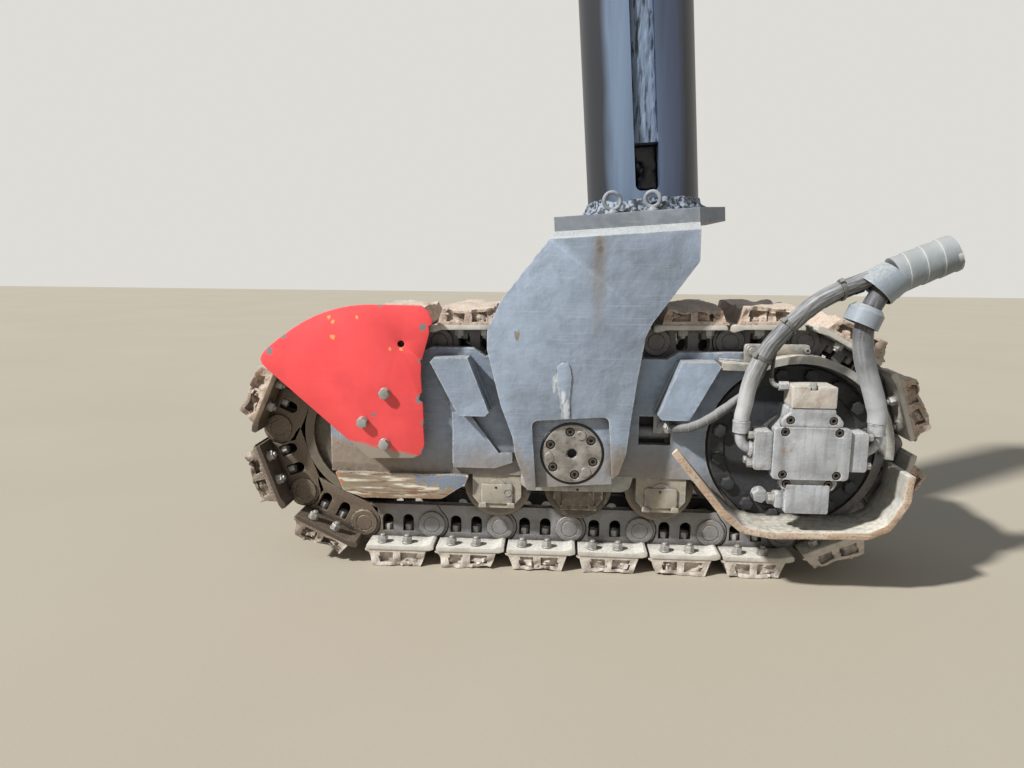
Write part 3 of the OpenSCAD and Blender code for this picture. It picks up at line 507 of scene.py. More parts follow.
def middleOf(name):
    low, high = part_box(name)
    return (Vector(low) + Vector(high)) / 2


def unique(items):
    # each once, in the order met, so that every run builds the same mesh
    return list(dict.fromkeys(items))


def vertsIn(geometry):
    return [g for g in geometry if isinstance(g, bmesh.types.BMVert)]


def facesIn(geometry):
    return [g for g in geometry if isinstance(g, bmesh.types.BMFace)]


def edgesAt(verts):
    return unique(e for v in verts for e in v.link_edges)


def edgesAmong(verts):
    return unique(e for v in verts for e in v.link_edges if e.other_vert(v) in verts)


def allOf(bm):
    return bm.verts[:] + bm.edges[:] + bm.faces[:]


def faceOut(bm):
    bmesh.ops.recalc_face_normals(bm, faces=bm.faces)


def closed(bm, ring):
    return [bm.edges.new((ring[k], ring[(k + 1) % len(ring)])) for k in range(len(ring))]


def ringPoints(centre, radius, start, end, count):
    # points on an arc, from one angle to another in degrees
    step = (end - start) / (count - 1)
    return [(centre[0] + radius * math.cos(math.radians(start + step * k)),
             centre[1] + radius * math.sin(math.radians(start + step * k))) for k in range(count)]


def roundedCorners(points, radius, steps=4):
    # the same outline with each corner replaced by a short arc
    rounded = []
    for k, corner in enumerate(points):
        reach = radius[k] if isinstance(radius, (list, tuple)) else radius
        here = Vector(corner)
        before = Vector(points[k - 1]) - here
        after = Vector(points[(k + 1) % len(points)]) - here
        if reach <= 0:
            rounded.append(tuple(here))
            continue
        half = before.angle(after) / 2
        back = min(reach / math.tan(half), before.length * 0.49, after.length * 0.49)
        start = here + before.normalized() * back
        end = here + after.normalized() * back
        for n in range(steps + 1):
            t = n / steps
            rounded.append(tuple(start * (1 - t) ** 2 + here * 2 * t * (1 - t) + end * t ** 2))
    return rounded


def fromCentre(centre, points):
    # millimetres from a centre in X and Z, made metres in the frame
    return [(centre.x + x / 1000, centre.z + z / 1000) for x, z in points]


def traced(points, centre=Vector(), steps=5):
    # outline from points that each say X, Z and the rounding there, in millimetres
    return roundedCorners(fromCentre(centre, [point[:2] for point in points]),
                          [point[2] / 1000 for point in points], steps)


def drilled(centre, x, z, radius, count=24):
    return ringPoints(fromCentre(centre, [(x, z)])[0], radius / 1000, 0, 360 - 360 / count, count)


def drawOut(bm, faces, way, keep=True):
    # moves a copy of the faces along a way, with walls between
    grown = bmesh.ops.extrude_face_region(bm, geom=faces, use_keep_orig=keep)["geom"]
    bmesh.ops.translate(bm, vec=way, verts=vertsIn(grown))
    return grown


def slab(bm, loops, near, far, bevel=0.0, segments=2, place=None):
    # outline and holes in X and Z, made solid between two Y values
    near, far = sorted((near, far))
    ends = []
    for loop in loops:
        ring = [bm.verts.new((x, near, z)) for x, z in loop]
        ends += closed(bm, ring)
    faces = facesIn(bmesh.ops.triangle_fill(bm, use_beauty=True, use_dissolve=False, edges=ends)["geom"])
    moved = vertsIn(drawOut(bm, faces, (0, far - near, 0)))
    verts = unique([v for f in faces for v in f.verts] + moved)
    made = unique(f for v in verts for f in v.link_faces)
    bmesh.ops.recalc_face_normals(bm, faces=made)
    if bevel > 0:
        sharp = unique(e for f in made for e in f.edges
                       if len(e.link_faces) == 2 and e.calc_face_angle(0) > 0.6)
        bevelled = bmesh.ops.bevel(bm, geom=sharp, offset=bevel, offset_type="OFFSET", segments=segments,
                                   profile=0.5, affect="EDGES", clamp_overlap=True, material=-1)
        verts = unique([v for v in verts if v.is_valid] + bevelled["verts"])
    if place is not None:
        bmesh.ops.transform(bm, matrix=place, verts=verts)


def turned(bm, profile, steps, place):
    # profile of (radius, height) pairs spun round Z, closed, then put in place
    verts = [bm.verts.new((r, 0, h)) for r, h in profile]
    edges = [bm.edges.new((verts[k], verts[k + 1])) for k in range(len(verts) - 1)]
    bmesh.ops.spin(bm, geom=verts + edges, cent=(0, 0, 0), axis=(0, 0, 1), angle=2 * math.pi, steps=steps,
                   use_merge=True)
    grown, front = dict.fromkeys(verts), verts
    while front:
        front = unique(v for w in front for f in w.link_faces for v in f.verts if v not in grown)
        grown.update(dict.fromkeys(front))
    bmesh.ops.remove_doubles(bm, verts=list(grown), dist=1e-6)
    grown = [v for v in grown if v.is_valid]
    bmesh.ops.recalc_face_normals(bm, faces=unique(f for v in grown for f in v.link_faces))
    bmesh.ops.transform(bm, matrix=place, verts=grown)


def aim(at, direction, spin=0.0):
    # matrix that puts Z along a direction, with its foot at a point
    turn = Vector(direction).to_track_quat("Z", "Y").to_matrix().to_4x4()
    return Matrix.Translation(at) @ turn @ Matrix.Rotation(spin, 4, "Z")


def hexHead(bm, at, direction, across, height, spin=0.0, washer=0.0):
    # six-sided head with a chamfered crown, on its washer
    radius = across / math.sqrt(3)
    thick = washer * 0.12
    verts = bmesh.ops.create_cone(bm, cap_ends=True, segments=6, radius1=radius, radius2=radius,
                                  depth=height)["verts"]
    bmesh.ops.translate(bm, vec=(0, 0, height / 2 + thick), verts=verts)
    top = [e for e in edgesAt(verts) if all(v.co.z > height * 0.6 for v in e.verts)]
    cut = bmesh.ops.bevel(bm, geom=top, offset=height * 0.16, offset_type="OFFSET", segments=2, profile=0.5,
                          affect="EDGES", material=-1)
    verts = unique([v for v in verts if v.is_valid] + cut["verts"])
    bmesh.ops.transform(bm, matrix=aim(at, direction, spin), verts=verts)
    if washer:
        rim = washer / 2
        turned(bm, [(0, 0), (rim, 0), (rim, thick * 0.7), (rim - thick * 0.3, thick), (0, thick)], 20,
               aim(at, direction))


def socketHead(bm, at, direction, across, height, spin=0.0):
    # round head with a hexagon socket
    r = across / 2
    turned(bm, [(0, 0), (r, 0), (r, height * 0.85), (r * 0.92, height), (r * 0.62, height)], 20,
           aim(at, direction))
    rings = []
    for size, sides, lift in ((0.56, 6, 0.995), (0.56, 6, 0.35), (0.63, 24, 0.995)):
        rings.append(bmesh.ops.create_circle(bm, segments=sides, radius=r * size)["verts"])
        bmesh.ops.translate(bm, vec=(0, 0, height * lift), verts=rings[-1])
    mouth, foot, rim = rings
    walls = bmesh.ops.bridge_loops(bm, edges=edgesAt(mouth + foot))["faces"]
    floor = bmesh.ops.contextual_create(bm, geom=edgesAmong(foot))["faces"]
    flat = bmesh.ops.triangle_fill(bm, use_beauty=True, use_dissolve=False,
                                   edges=edgesAt(rim) + edgesAmong(mouth))["geom"]
    for face in walls + floor + facesIn(flat):
        face.normal_update()
        middle = face.calc_center_median()
        outward = Vector((-middle.x, -middle.y, 0)) if face in walls else Vector((0, 0, 1))
        if face.normal.dot(outward) < 0:
            face.normal_flip()
    bmesh.ops.transform(bm, matrix=aim(at, direction, spin), verts=mouth + foot + rim)


def roughen(verts, size, amount, seed=0.0, push=None):
    # seeded noise that dents a surface, along its normals or along one direction
    for v in verts:
        lift = noise.noise(v.co / size + Vector((seed, seed * 1.7, -seed))) * amount
        v.co += (push if push else v.normal) * lift


def pour(source, target):
    # adds one shape to another
    part = bpy.data.meshes.new("part")
    source.to_mesh(part)
    source.free()
    target.from_mesh(part)
    bpy.data.meshes.remove(part)


def finishPiece(bm, name, materials, replaced=(), soft=35, body="crawler"):
    # pieces of the leg are built upright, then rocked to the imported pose
    if body == "leg":
        bmesh.ops.transform(bm, matrix=leg, verts=bm.verts)
    mesh = bpy.data.meshes.new(name)
    bm.to_mesh(mesh)
    bm.free()
    for face in mesh.polygons:
        face.use_smooth = True
    mesh.set_sharp_from_angle(angle=math.radians(soft))
    for material in materials:
        mesh.materials.append(material)
    piece = addObject(name, mesh)
    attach(piece, body)
    if replaced:
        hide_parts(*replaced)
    return piece


def dress(material, *names):
    # gives CAD solids that keep their shape a better finish
    for name in names:
        solid = nodes[name]
        if not solid.material_slots:
            solid.data.materials.append(material)
        for holder in solid.material_slots:
            holder.material = material


def smoothLine(points, step):
    # Catmull-Rom line through the points, cut into even short steps
    fine = []
    padded = [points[0] * 2 - points[1]] + list(points) + [points[-1] * 2 - points[-2]]
    for k in range(1, len(padded) - 2):
        a, b, c, d = padded[k - 1:k + 3]
        for n in range(16):
            t = n / 16
            fine.append(0.5 * ((2 * b) + (c - a) * t + (2 * a - 5 * b + 4 * c - d) * t * t
                               + (3 * b - a - 3 * c + d) * t ** 3))
    fine.append(points[-1].copy())
    line = [fine[0]]
    for point in fine[1:]:
        while (point - line[-1]).length > step:
            line.append(line[-1] + (point - line[-1]).normalized() * step)
    if (fine[-1] - line[-1]).length < step * 0.5:
        line[-1] = fine[-1]
    else:
        line.append(fine[-1])
    return line


def wayAt(line, k):
    return (line[min(k + 1, len(line) - 1)] - line[max(k - 1, 0)]).normalized()


def sweptTube(points, radiusAt, sides, step):
    # round tube along a smooth line through the points, with lengthwise and round-about attributes
    path = smoothLine(points, step)
    bm = bmesh.new()
    along = bm.verts.layers.float.new("along")
    around = bm.verts.layers.float.new("around")
    rings = []
    side = Vector((0, 1, 0))
    travelled = 0.0
    for k, point in enumerate(path):
        ahead = wayAt(path, k)
        side = (side - ahead * side.dot(ahead)).normalized()
        over = ahead.cross(side)
        if k:
            travelled += (point - path[k - 1]).length
        ring = []
        for n in range(sides):
            angle = 2 * math.pi * n / sides
            reach = radiusAt(travelled, angle)
            v = bm.verts.new(point + (side * math.cos(angle) + over * math.sin(angle)) * reach)
            v[along] = travelled
            v[around] = angle * radiusAt(travelled, 0)
            ring.append(v)
        edges = closed(bm, ring)
        if rings:
            bmesh.ops.bridge_loops(bm, edges=rings[-1] + edges)
        rings.append(edges)
    for edges in (rings[0], rings[-1]):
        bmesh.ops.contextual_create(bm, geom=edges)
    faceOut(bm)
    return bm, path


drive = middleOf("final_drive")
idlerAt = middleOf("idler")
drive.y = idlerAt.y = 0
sidePlate = 0.1365        # from the middle to the outside of the frame's side plates

# hoses: each with the solid it stands for, its radius, slot and cloth
hoses = [
    ("pressureLeft", "hose_left", 0.017, "hose_sleeve", hoseSleeve),
    ("pressureRight", "hose_right", 0.021, "hose_sleeve", sleeveShaded),
    ("drain", "hose_drain", 0.011, "wrap_sleeve", wrapCloth),
    ("case", "hose_case", 0.004, "hose_rubber", hoseRubber),
]
# the routes of those solids, in millimetres from the drive's centre
routes = {
    "pressureLeft": [
        (-141.9, -253, 82.2), (-141.9, -253, 92.9), (-137.3, -253, 114.9), (-133.3, -253, 144.9),
        (-126.3, -253, 174.9), (-115.3, -253, 204.9), (-99.3, -253, 234.9), (-78.3, -253, 262.9),
        (-54.3, -253, 290.9), (-25.3, -253, 319.9), (6.7, -253, 344.9), (41.7, -253, 363.9),
        (74.7, -252, 376.9), (98.7, -251, 385.9)],
    "pressureRight": [
        (142.1, -253, 82.2), (142.1, -253, 92.9), (140.7, -253, 104.9), (135.7, -253, 121.9),
        (128.7, -253, 144.9), (120.7, -253, 167.9), (111.7, -253, 191.9), (103.7, -253, 217.9),
        (98.7, -253, 246.9), (97.7, -253, 277.9), (102.7, -253, 307.9), (111.7, -253, 333.9),
        (127.7, -252, 360.9)],
    "drain": [
        (-274.6, -158.1, 40.9), (-267, -169, 41.4), (-257.3, -181, 43.9), (-241.3, -199, 50.9),
        (-222.3, -213, 62.9), (-200.3, -222, 78.9), (-176.3, -225, 97.9), (-151.3, -225, 116.9),
        (-129.3, -223, 134.9), (-113.3, -223, 156.9), (-102.3, -225, 182.9), (-92.3, -227, 206.9),
        (-81.3, -229, 228.9), (-65.3, -230, 251.9), (-42.3, -230, 278.9), (-14.3, -230, 306.9),
        (15.7, -230, 330.9), (48.7, -230, 348.9), (76.7, -230, 360.9), (96.7, -229, 367.9)],
    "case": [
        (-82, -243, 173.2), (-82, -243, 179.9), (-80.3, -238, 189.9), (-76.3, -228, 202.9),
        (-71.3, -216, 219.9), (-62.3, -212, 250.9), (-47.3, -214, 284.9), (-24.3, -226, 317.9),
        (6.7, -230, 346.4), (42.7, -230, 365.4), (74.7, -230, 377.4), (96.7, -230, 385.4)],
}
wrapTurn = 0.034          # one turn of the drain hose's spiral wrap
routeStep = 0.004


def routeOf(name):
    return [drive + Vector(p) / 1000 for p in routes[name]]


def sleeveRadius(name, radius):
    # the woven sleeve sags in soft folds, the wrap steps at each turn, the bare hose is even
    if name == "drain":
        return lambda s, a: radius * (1.0 - 0.10 * ((s / wrapTurn + a / 2 / math.pi) % 1))
    if name == "case":
        return lambda s, a: radius
    return lambda s, a: radius * (1 - 0.02 + 0.02 * math.sin(s / 0.021 + 1.3 * math.sin(a))
                                  * math.sin(a * 2 + s * 9) - (0.03 if s < 0.034 else 0))


for name, node, radius, slotName, cloth in hoses:
    bm, path = sweptTube(routeOf(name), sleeveRadius(name, radius), 28 if radius > 0.01 else 14, routeStep)
    tube = finishPiece(bm, name + "Hose", [cloth], [node], soft=60)


# chain: pins all round, then links, bushes, shoes, pads and bolts
chain = {
    "pitch": 0.17145, "pinHeight": 0.088, "runLinks": 6, "arcLinks": 4, "idlerPinRadius": 0.229, "teeth": 17,
    "railIn": 0.050, "railOut": 0.034, "strandIn": 0.046, "strandOut": 0.084, "strandMiddle": 0.060,
    "hollowEnd": 0.0415, "roundEnd": 0.0395, "shoeHalf": 0.150, "windows": (0.35, 0.65), "shadedShoes": 3,
}


def chainPins():
    pitch = chain["pitch"]
    endX = chain["runLinks"] * pitch / 2
    step = 720 / chain["teeth"]
    drivePinRadius = pitch / (2 * math.sin(math.radians(step / 2)))
    lead = math.degrees(math.asin((endX - drive.x) / drivePinRadius))
    idlerReach = chain["idlerPinRadius"]
    idlerLead = math.degrees(math.asin((endX + idlerAt.x) / idlerReach))
    idlerStep = 2 * math.degrees(math.asin(pitch / (2 * idlerReach)))

    def about(centre, radius, angle):
        turn = math.radians(angle - 90)
        return Vector((centre.x + radius * math.cos(turn), centre.z + radius * math.sin(turn)))

    def onDrive(n):
        return about(drive, drivePinRadius, lead + n * step)

    def onIdler(n):
        return about(idlerAt, idlerReach, -idlerLead - n * idlerStep)

    arcs, run = chain["arcLinks"], chain["runLinks"]
    lower = [Vector((-endX + k * pitch, chain["pinHeight"])) for k in range(run)]
    upper = [onDrive(arcs).lerp(onIdler(arcs), k / run) for k in range(run)]
    return lower + [onDrive(k) for k in range(arcs)] + upper + [onIdler(arcs - k) for k in range(arcs)]


pins = chainPins()


def linkPlace(i):
    # X runs from pin to pin, Y towards the far side, Z inwards to the loop
    a, b = pins[i], pins[(i + 1) % len(pins)]
    along = Vector((b.x - a.x, 0, b.y - a.y)).normalized()
    inward = Vector((-along.z, 0, along.x))
    turn = Matrix((along, Vector((0, 1, 0)), inward)).transposed().to_4x4()
    return Matrix.Translation((a.x, 0, a.y)) @ turn


def repeatOnLinks(bm, change=None):
    # copies the first link's shape to all the links; change can alter each copy
    whole = bmesh.new()
    template = bpy.data.meshes.new("linkTemplate")
    bm.to_mesh(template)
    bm.free()
    for i in range(len(pins)):
        before = len(whole.verts)
        whole.from_mesh(template)
        whole.verts.ensure_lookup_table()
        verts = whole.verts[before:]
        if change:
            change(verts, i)
        bmesh.ops.transform(whole, matrix=linkPlace(i), verts=verts)
    bpy.data.meshes.remove(template)
    return whole


def windowOutline(middle):
    # upright opening with a round head on the rail's side
    w, low, high = 0.0135, -0.020, 0.024
    return [(middle - w, low), (middle + w, low)] + ringPoints((middle, high - w), w, 0, 180, 9)


def linkSide(bm, side):
    # outer half of one strand: hollow left end, round right end over the next pin
    pitch, top, foot, face = chain["pitch"], chain["railIn"], -chain["railOut"], side * chain["strandOut"]
    left = ringPoints((0, 0), chain["hollowEnd"], -50, 50, 12)
    right = ringPoints((pitch, 0), chain["roundEnd"], -50, 50, 12)
    outer = ([(left[-1][0] - 0.012, top)] + left[::-1] + [(left[0][0], foot)]
             + [(right[0][0] - 0.006, foot)] + right + [(right[-1][0] - 0.012, top)])
    holes = [windowOutline(pitch * u) for u in chain["windows"]]
    slab(bm, [outer] + holes, side * chain["strandMiddle"], face, bevel=0.0022)
    # inner tongue, a little lower, that carries on under the next link
    inner = [(-0.030, top - 0.004), (-0.036, 0), (-0.030, foot), (pitch - 0.036, foot),
             (pitch - 0.030, top - 0.004)]
    slab(bm, [inner] + holes, side * chain["strandIn"], side * 0.0605, bevel=0.0015, segments=1)
    # boss and pin end at the right-hand pin
    turned(bm, [(0.0335, 0), (0.0335, 0.0080), (0.0318, 0.0099), (0.0215, 0.0099), (0.0206, 0.0086),
                (0.0198, 0.0086), (0.0182, 0.0099), (0.0060, 0.0101), (0, 0.0101)], 28,
           aim((pitch, face - side * 0.004, 0), (0, side, 0)))


bm = bmesh.new()
for side in (-1, 1):
    linkSide(bm, side)
links = finishPiece(repeatOnLinks(bm), "chainLinks", [linkSteel], ["track"])

bm = bmesh.new()
turned(bm, [(0, -0.047), (0.0235, -0.047), (0.0240, -0.045), (0.0240, 0.045), (0.0235, 0.047), (0, 0.047)],
       24, aim((0, 0, 0), (0, 1, 0)))
finishPiece(repeatOnLinks(bm), "chainBushes", [wheelIron])
print("links", len(links.data.polygons))


# shoe plate with a lipped trailing end and rounded corners
shoe = {"thickness": 0.0110, "outline": [
    (20, -33, 2), (26, -34, 4), (155.5, -34, 20), (177.5, -28, 3), (185.5, -31, 3), (185.5, -41, 3),
    (173.5, -45, 10), (24, -45, 3), (20, -41, 3)]}


def wearShoe(verts, i):
    roughen(verts, 0.035, 0.0008, seed=i * 3.1, push=Vector((0, 0, 1)))


bm = bmesh.new()
slab(bm, [traced(shoe["outline"], steps=4)], -chain["shoeHalf"], chain["shoeHalf"], bevel=0.0018)
shoes = finishPiece(repeatOnLinks(bm, wearShoe), "shoePlates",
                    [shoePlateSteel, shoePlateShaded])
# the last links go round the idler, and their plates take the painted shadow
perShoe = len(shoes.data.polygons) // len(pins)
for face in list(shoes.data.polygons)[-chain["shadedShoes"] * perShoe:]:
    face.material_index = 1


# road pads under the plates: tapered, torn, with two pockets in each end face
pad = {
    "start": 0.022, "end": 0.166, "taper": 0.013, "lip": 0.006, "half": 0.148,
    "top": -chain["railOut"] - shoe["thickness"] + 0.0005, "low": -chain["pinHeight"] + 0.0008,
    "layers": [0.0, 0.012] + [0.012 + 0.0247 * k for k in range(1, 11)] + [0.284, 0.296],
    "pockets": ((0.052, 0.084), (0.104, 0.144)), "pocketDeep": 0.008, "sill": 0.007, "lintel": 0.009,
}
# how pads are torn: the size of the noises, where the end zone starts and the foot starts to crumble
tear = {"chipSize": 0.020, "lumpSize": 0.055, "rubbleSize": 0.0085, "endFrom": 0.10, "endWide": 0.048,
        "footFrom": 0.048, "footDeep": 0.04, "endLoss": 0.016, "footLoss": 0.010, "airborne": 1.7}


def roadPad(bm):
    top, low, a, b, layers = pad["top"], pad["low"], pad["start"], pad["end"], pad["layers"]
    made = bmesh.ops.create_grid(bm, x_segments=30, y_segments=10, size=0.5)["verts"]
    # the grid becomes the near end face, then is drawn through to the far side
    for v in made:
        u, w = v.co.x + 0.5, v.co.y + 0.5
        x = a + (b - a) * u + pad["taper"] * (1 - w) * (1 - 2 * u)
        if w > 0.82 and u < 0.06:
            x -= pad["lip"]
        v.co = Vector((x, -pad["half"], low + (top - low) * w))
    faces = unique(f for v in made for f in v.link_faces)
    pocketed = []
    for start, end in pad["pockets"]:
        pocketed += [f for f in faces if start < f.calc_center_median().x < end
                     and low + pad["sill"] < f.calc_center_median().z < top - pad["lintel"]]
    sheet = faces
    for k in range(1, len(layers)):
        grown = drawOut(bm, sheet, (0, layers[k] - layers[k - 1], 0), keep=(k == 1))
        if k > 1:
            bmesh.ops.delete(bm, geom=[f for f in sheet if f.is_valid], context="FACES")
        sheet = facesIn(grown)
    faceOut(bm)
    drawOut(bm, pocketed, (0, pad["pocketDeep"], 0), keep=False)
    bmesh.ops.delete(bm, geom=pocketed, context="FACES_ONLY")


def tearPad(verts, i):
    # each pad is worn and chipped in its own way, more on the ones that turn in the air
    broken = 1.0 if i < chain["runLinks"] else tear["airborne"]
    for v in verts:
        p = v.co
        end = max(0.0, (abs(p.y) - tear["endFrom"]) / tear["endWide"])
        chip = noise.noise(p / tear["chipSize"] + Vector((i * 7.3, 0, 0)))
        coarse = noise.noise(p / tear["lumpSize"] + Vector((0, i * 3.7, 0)))
        depth = max(0.0, -p.z - tear["footFrom"]) / tear["footDeep"]
        lost = max(0.0, chip * 0.5 + 0.2) * tear["endLoss"] * end * broken * min(1, depth * 2)
        p.y -= math.copysign(lost, p.y)
        if abs(pad["half"] - pad["pocketDeep"] - abs(p.y)) < 0.0015:
            # rubble packed in the pockets
            rubble = noise.noise(p / tear["rubbleSize"] + Vector((i * 5.1, 0, i * 2.3)))
            p.y += math.copysign(max(-0.002, rubble * 0.011 + 0.002), p.y)
        p.z += max(0.0, coarse + 0.12) * tear["footLoss"] * broken * depth
        p.x += chip * 0.004 * depth
        p.z = max(p.z, pad["low"])


bm = bmesh.new()
roadPad(bm)
pads = finishPiece(repeatOnLinks(bm, tearPad), "roadPads", [padRubber], soft=38)
print("pads", len(pads.data.polygons))


# shoe bolts: nut and thread end on each plate, heads standing in the link windows
def looseBolt(verts, i):
    for v in verts:
        v.co.x += noise.noise((i * 1.3, v.co.x * 9, 0)) * 0.002


bm = bmesh.new()
for side in (-1, 1):
    for u in (0.33, 0.68):
        at = (chain["pitch"] * u, side * 0.126, -chain["railOut"] + 0.0006)
        hexHead(bm, at, (0, 0, 1), 0.0205, 0.012, spin=0.4 + u, washer=0.026)
        turned(bm, [(0.0065, 0), (0.0065, 0.0190), (0.0050, 0.0205), (0, 0.0205)], 12, aim(at, (0, 0, 1)))
    for u in chain["windows"]:
        hexHead(bm, (chain["pitch"] * u, side * 0.068, -0.0215), (0, 0, 1), 0.021, 0.017, spin=0.2)
finishPiece(repeatOnLinks(bm, looseBolt), "shoeBolts", [fittingZinc])
print("chain made")


# front guard: sheet with a flame-cut outline, nicked at the edges, on three bosses
frontGuard = {
    "face": -0.179, "thickness": 0.008, "bolts": [(61.2, 119.8), (8.2, 50.8), (58.2, -0.2)],
    "hole": (100.2, 234.8, 8),
    "curve": [(-217.8, 173.8), (-228.8, 186.8), (-228.8, 199.8), (-218.8, 214.8), (-187.8, 240.8),
              (-131.8, 278.8), (-73.8, 305.8), (-10.8, 320.8), (50.2, 323.8), (147.2, 322.8)],
    "rest": [(165.2, 309.8), (173.2, 287.8), (170.5, 278.5), (164.5, 276), (165.8, 262), (164.2, 254.8),
             (148.2, 199), (144.6, 197.5), (146.9, 188), (145.2, 161.8), (147.5, 124), (143.6, 118),
             (140.5, 106), (149.2, 99.8), (151.4, 52), (149.6, 47), (152.2, -0.2), (145.2, -23.2),
             (125.2, -33.2), (21.2, -36.2)],
}
curve = smoothLine([Vector((x, 0, z)) / 1000 for x, z in frontGuard["curve"]], 0.012)
outline = [(idlerAt.x + p.x, idlerAt.z + p.z) for p in curve] + fromCentre(idlerAt, frontGuard["rest"])
face = frontGuard["face"]
plate, bolts = bmesh.new(), bmesh.new()
slab(plate, [outline, drilled(idlerAt, *frontGuard["hole"])], face, face + frontGuard["thickness"],
     bevel=0.0011)
for n, (x, z) in enumerate(fromCentre(idlerAt, frontGuard["bolts"])):
    turned(plate, [(0, 0), (0.015, 0), (0.015, 0.034), (0.013, 0.036), (0, 0.036)], 24,
           aim((x, face + 0.007, z), (0, 1, 0)))
    hexHead(bolts, (x, face, z), (0, -1, 0), 0.0225, 0.0135, spin=0.3 + n * 0.7, washer=0.027)
finishPiece(plate, "frontGuardPlate", [guardRed], ["front_guard"])
finishPiece(bolts, "frontGuardBolts", [fittingZinc])


# skids under the fork, ground round by the road
skidLine = [(-71, -80.2, 4), (253.2, -80.2, 4), (243.2, -104.2, 14), (188.2, -140.2, 26), (-2, -143.2, 30),
            (-53, -125.2, 22)]
for side, name, node in ((-1, "skidNear", "front_skid_near"), (1, "skidFar", "front_skid_far")):
    bm = bmesh.new()
    slab(bm, [traced(skidLine, idlerAt, 6)], side * 0.148, side * 0.104, bevel=0.006, segments=3)
    for _ in range(2):
        bmesh.ops.subdivide_edges(bm, edges=[e for e in bm.edges if e.calc_length() > 0.02], cuts=2)
    bmesh.ops.triangulate(bm, faces=bm.faces)
    roughen(bm.verts, 0.03, 0.0012, seed=side)
    finishPiece(bm, name, [wornRust], [node], soft=50)


# lower guard: thick strip bent round the drive, torn and rusted along its outer edge
lowerGuard = {
    "line": [(0.976, -0.139), (0.955, -0.392), (0.808, -0.662), (0.618, -0.750), (-0.267, -0.771),
             (-0.545, -0.725), (-0.751, -0.556), (-1.219, 0.021)],
    "bends": [0, 0.05, 0.06, 0.06, 0.06, 0.05, 0.04, 0],
    "pinCircle": 0.237307, "thickness": 0.017, "outer": -0.262, "inner": -0.136, "slant": 42,
}


def lowerGuardPiece():
    size = lowerGuard["pinCircle"]
    corners = [(drive.x + size * x, drive.z + size * z) for x, z in lowerGuard["line"]]
    line = [Vector((x, 0, z)) for x, z in roundedCorners(corners, lowerGuard["bends"], 7)]
    inside = []
    for k, point in enumerate(line):
        ahead = wayAt(line, k)
        # the line runs clockwise under the drive, so its inner side is on the right hand
        inside.append(point + Vector((ahead.z, 0, -ahead.x)) * lowerGuard["thickness"])
    bm = bmesh.new()
    slab(bm, [[(p.x, p.z) for p in line + inside[::-1]]], lowerGuard["outer"], lowerGuard["inner"],
         bevel=0.0025)
    # its free end is cut off at a slant
    at = Vector((corners[-1][0], lowerGuard["outer"], 0))
    normal = Matrix.Rotation(math.radians(-lowerGuard["slant"]), 3, "Z") @ Vector((-1, 0, 0))
    cut = bmesh.ops.bisect_plane(bm, geom=allOf(bm), plane_co=at, plane_no=normal, clear_outer=True)
    bmesh.ops.holes_fill(bm, edges=[g for g in cut["geom_cut"] if isinstance(g, bmesh.types.BMEdge)], sides=0)
    bmesh.ops.triangulate(bm, faces=bm.faces)
    bmesh.ops.subdivide_edges(bm, edges=[e for e in bm.edges if e.calc_length() > 0.03], cuts=4)
    bmesh.ops.triangulate(bm, faces=bm.faces)
    for v in bm.verts:
        if v.co.y < lowerGuard["outer"] + 0.004:
            v.co.y += abs(noise.noise(v.co / 0.05)) * 0.005 + abs(noise.noise(v.co / 0.012)) * 0.0012
    faceOut(bm)
    for f in bm.faces:
        if f.normal.y < -0.55:
            f.material_index = 1
    finishPiece(bm, "lowerGuardStrip", [dustyPaint, edgeRust], ["lower_guard"], soft=40)


lowerGuardPiece()


# bracket on the arch with its two screws
bm = bmesh.new()
outline = [(-119, 178, 0), (-119, 235, 8), (25, 235, 8), (25, 212.5, 0), (0, 214.2, 0), (-40, 210.4, 0),
           (-80, 198.6, 0), (-104, 187.2, 0)]
slab(bm, [traced(outline, drive, 4)], -0.148, -0.136, bevel=0.0016)
finishPiece(bm, "archBracket", [dustyPaint], ["clamp_bracket"])
bm = bmesh.new()
hexHead(bm, (0.400, -0.148, 0.545), (0, -1, 0), 0.017, 0.009, spin=0.2, washer=0.026)
socketHead(bm, (0.522, -0.148, 0.547), (0, -1, 0), 0.013, 0.006)
finishPiece(bm, "archBracketScrews", [fittingZinc])
print("guards made")


# roller collars: raised faces with a grease hole, feet at the foot, one screw on the first
bm = bmesh.new()
holeShades = bmesh.new()
for number, node in enumerate(("roller_1", "roller_2", "roller_3")):
    centre = middleOf(node)
    x, z = centre.x, centre.z
    for side in (-1, 1):
        slab(bm, [traced([(-38, -36, 6), (38, -36, 6), (38, 12, 6), (-38, 12, 6)], centre, 4)],
             side * 0.131, side * sidePlate, bevel=0.0022)
        for foot in (-34, 34):
            corners = [(foot - 10, -46, 3), (foot + 10, -46, 3), (foot + 8, -34, 3), (foot - 8, -34, 3)]
            slab(bm, [traced(corners, centre, 4)], side * 0.128, side * 0.139, bevel=0.0015)
        # each grease hole is a thin black disc, a painted shade
        turned(holeShades, [(0, 0), (0.0030, 0), (0.0030, 0.0012), (0, 0.0012)], 12,
               aim((x - 0.002, side * 0.1362, z + 0.004), (0, side, 0)))
        if number == 0:
            turned(bm, [(0.0095, 0), (0.0095, 0.002), (0.0075, 0.002), (0.0075, 0.0008), (0, 0.0008)], 20,
                   aim((x + 0.026, side * 0.1362, z - 0.008), (0, side, 0)))
finishPiece(bm, "rollerCollarFaces", [muddyPaint])
finishPiece(holeShades, "greaseHoles", [blackPrimerAndShade])


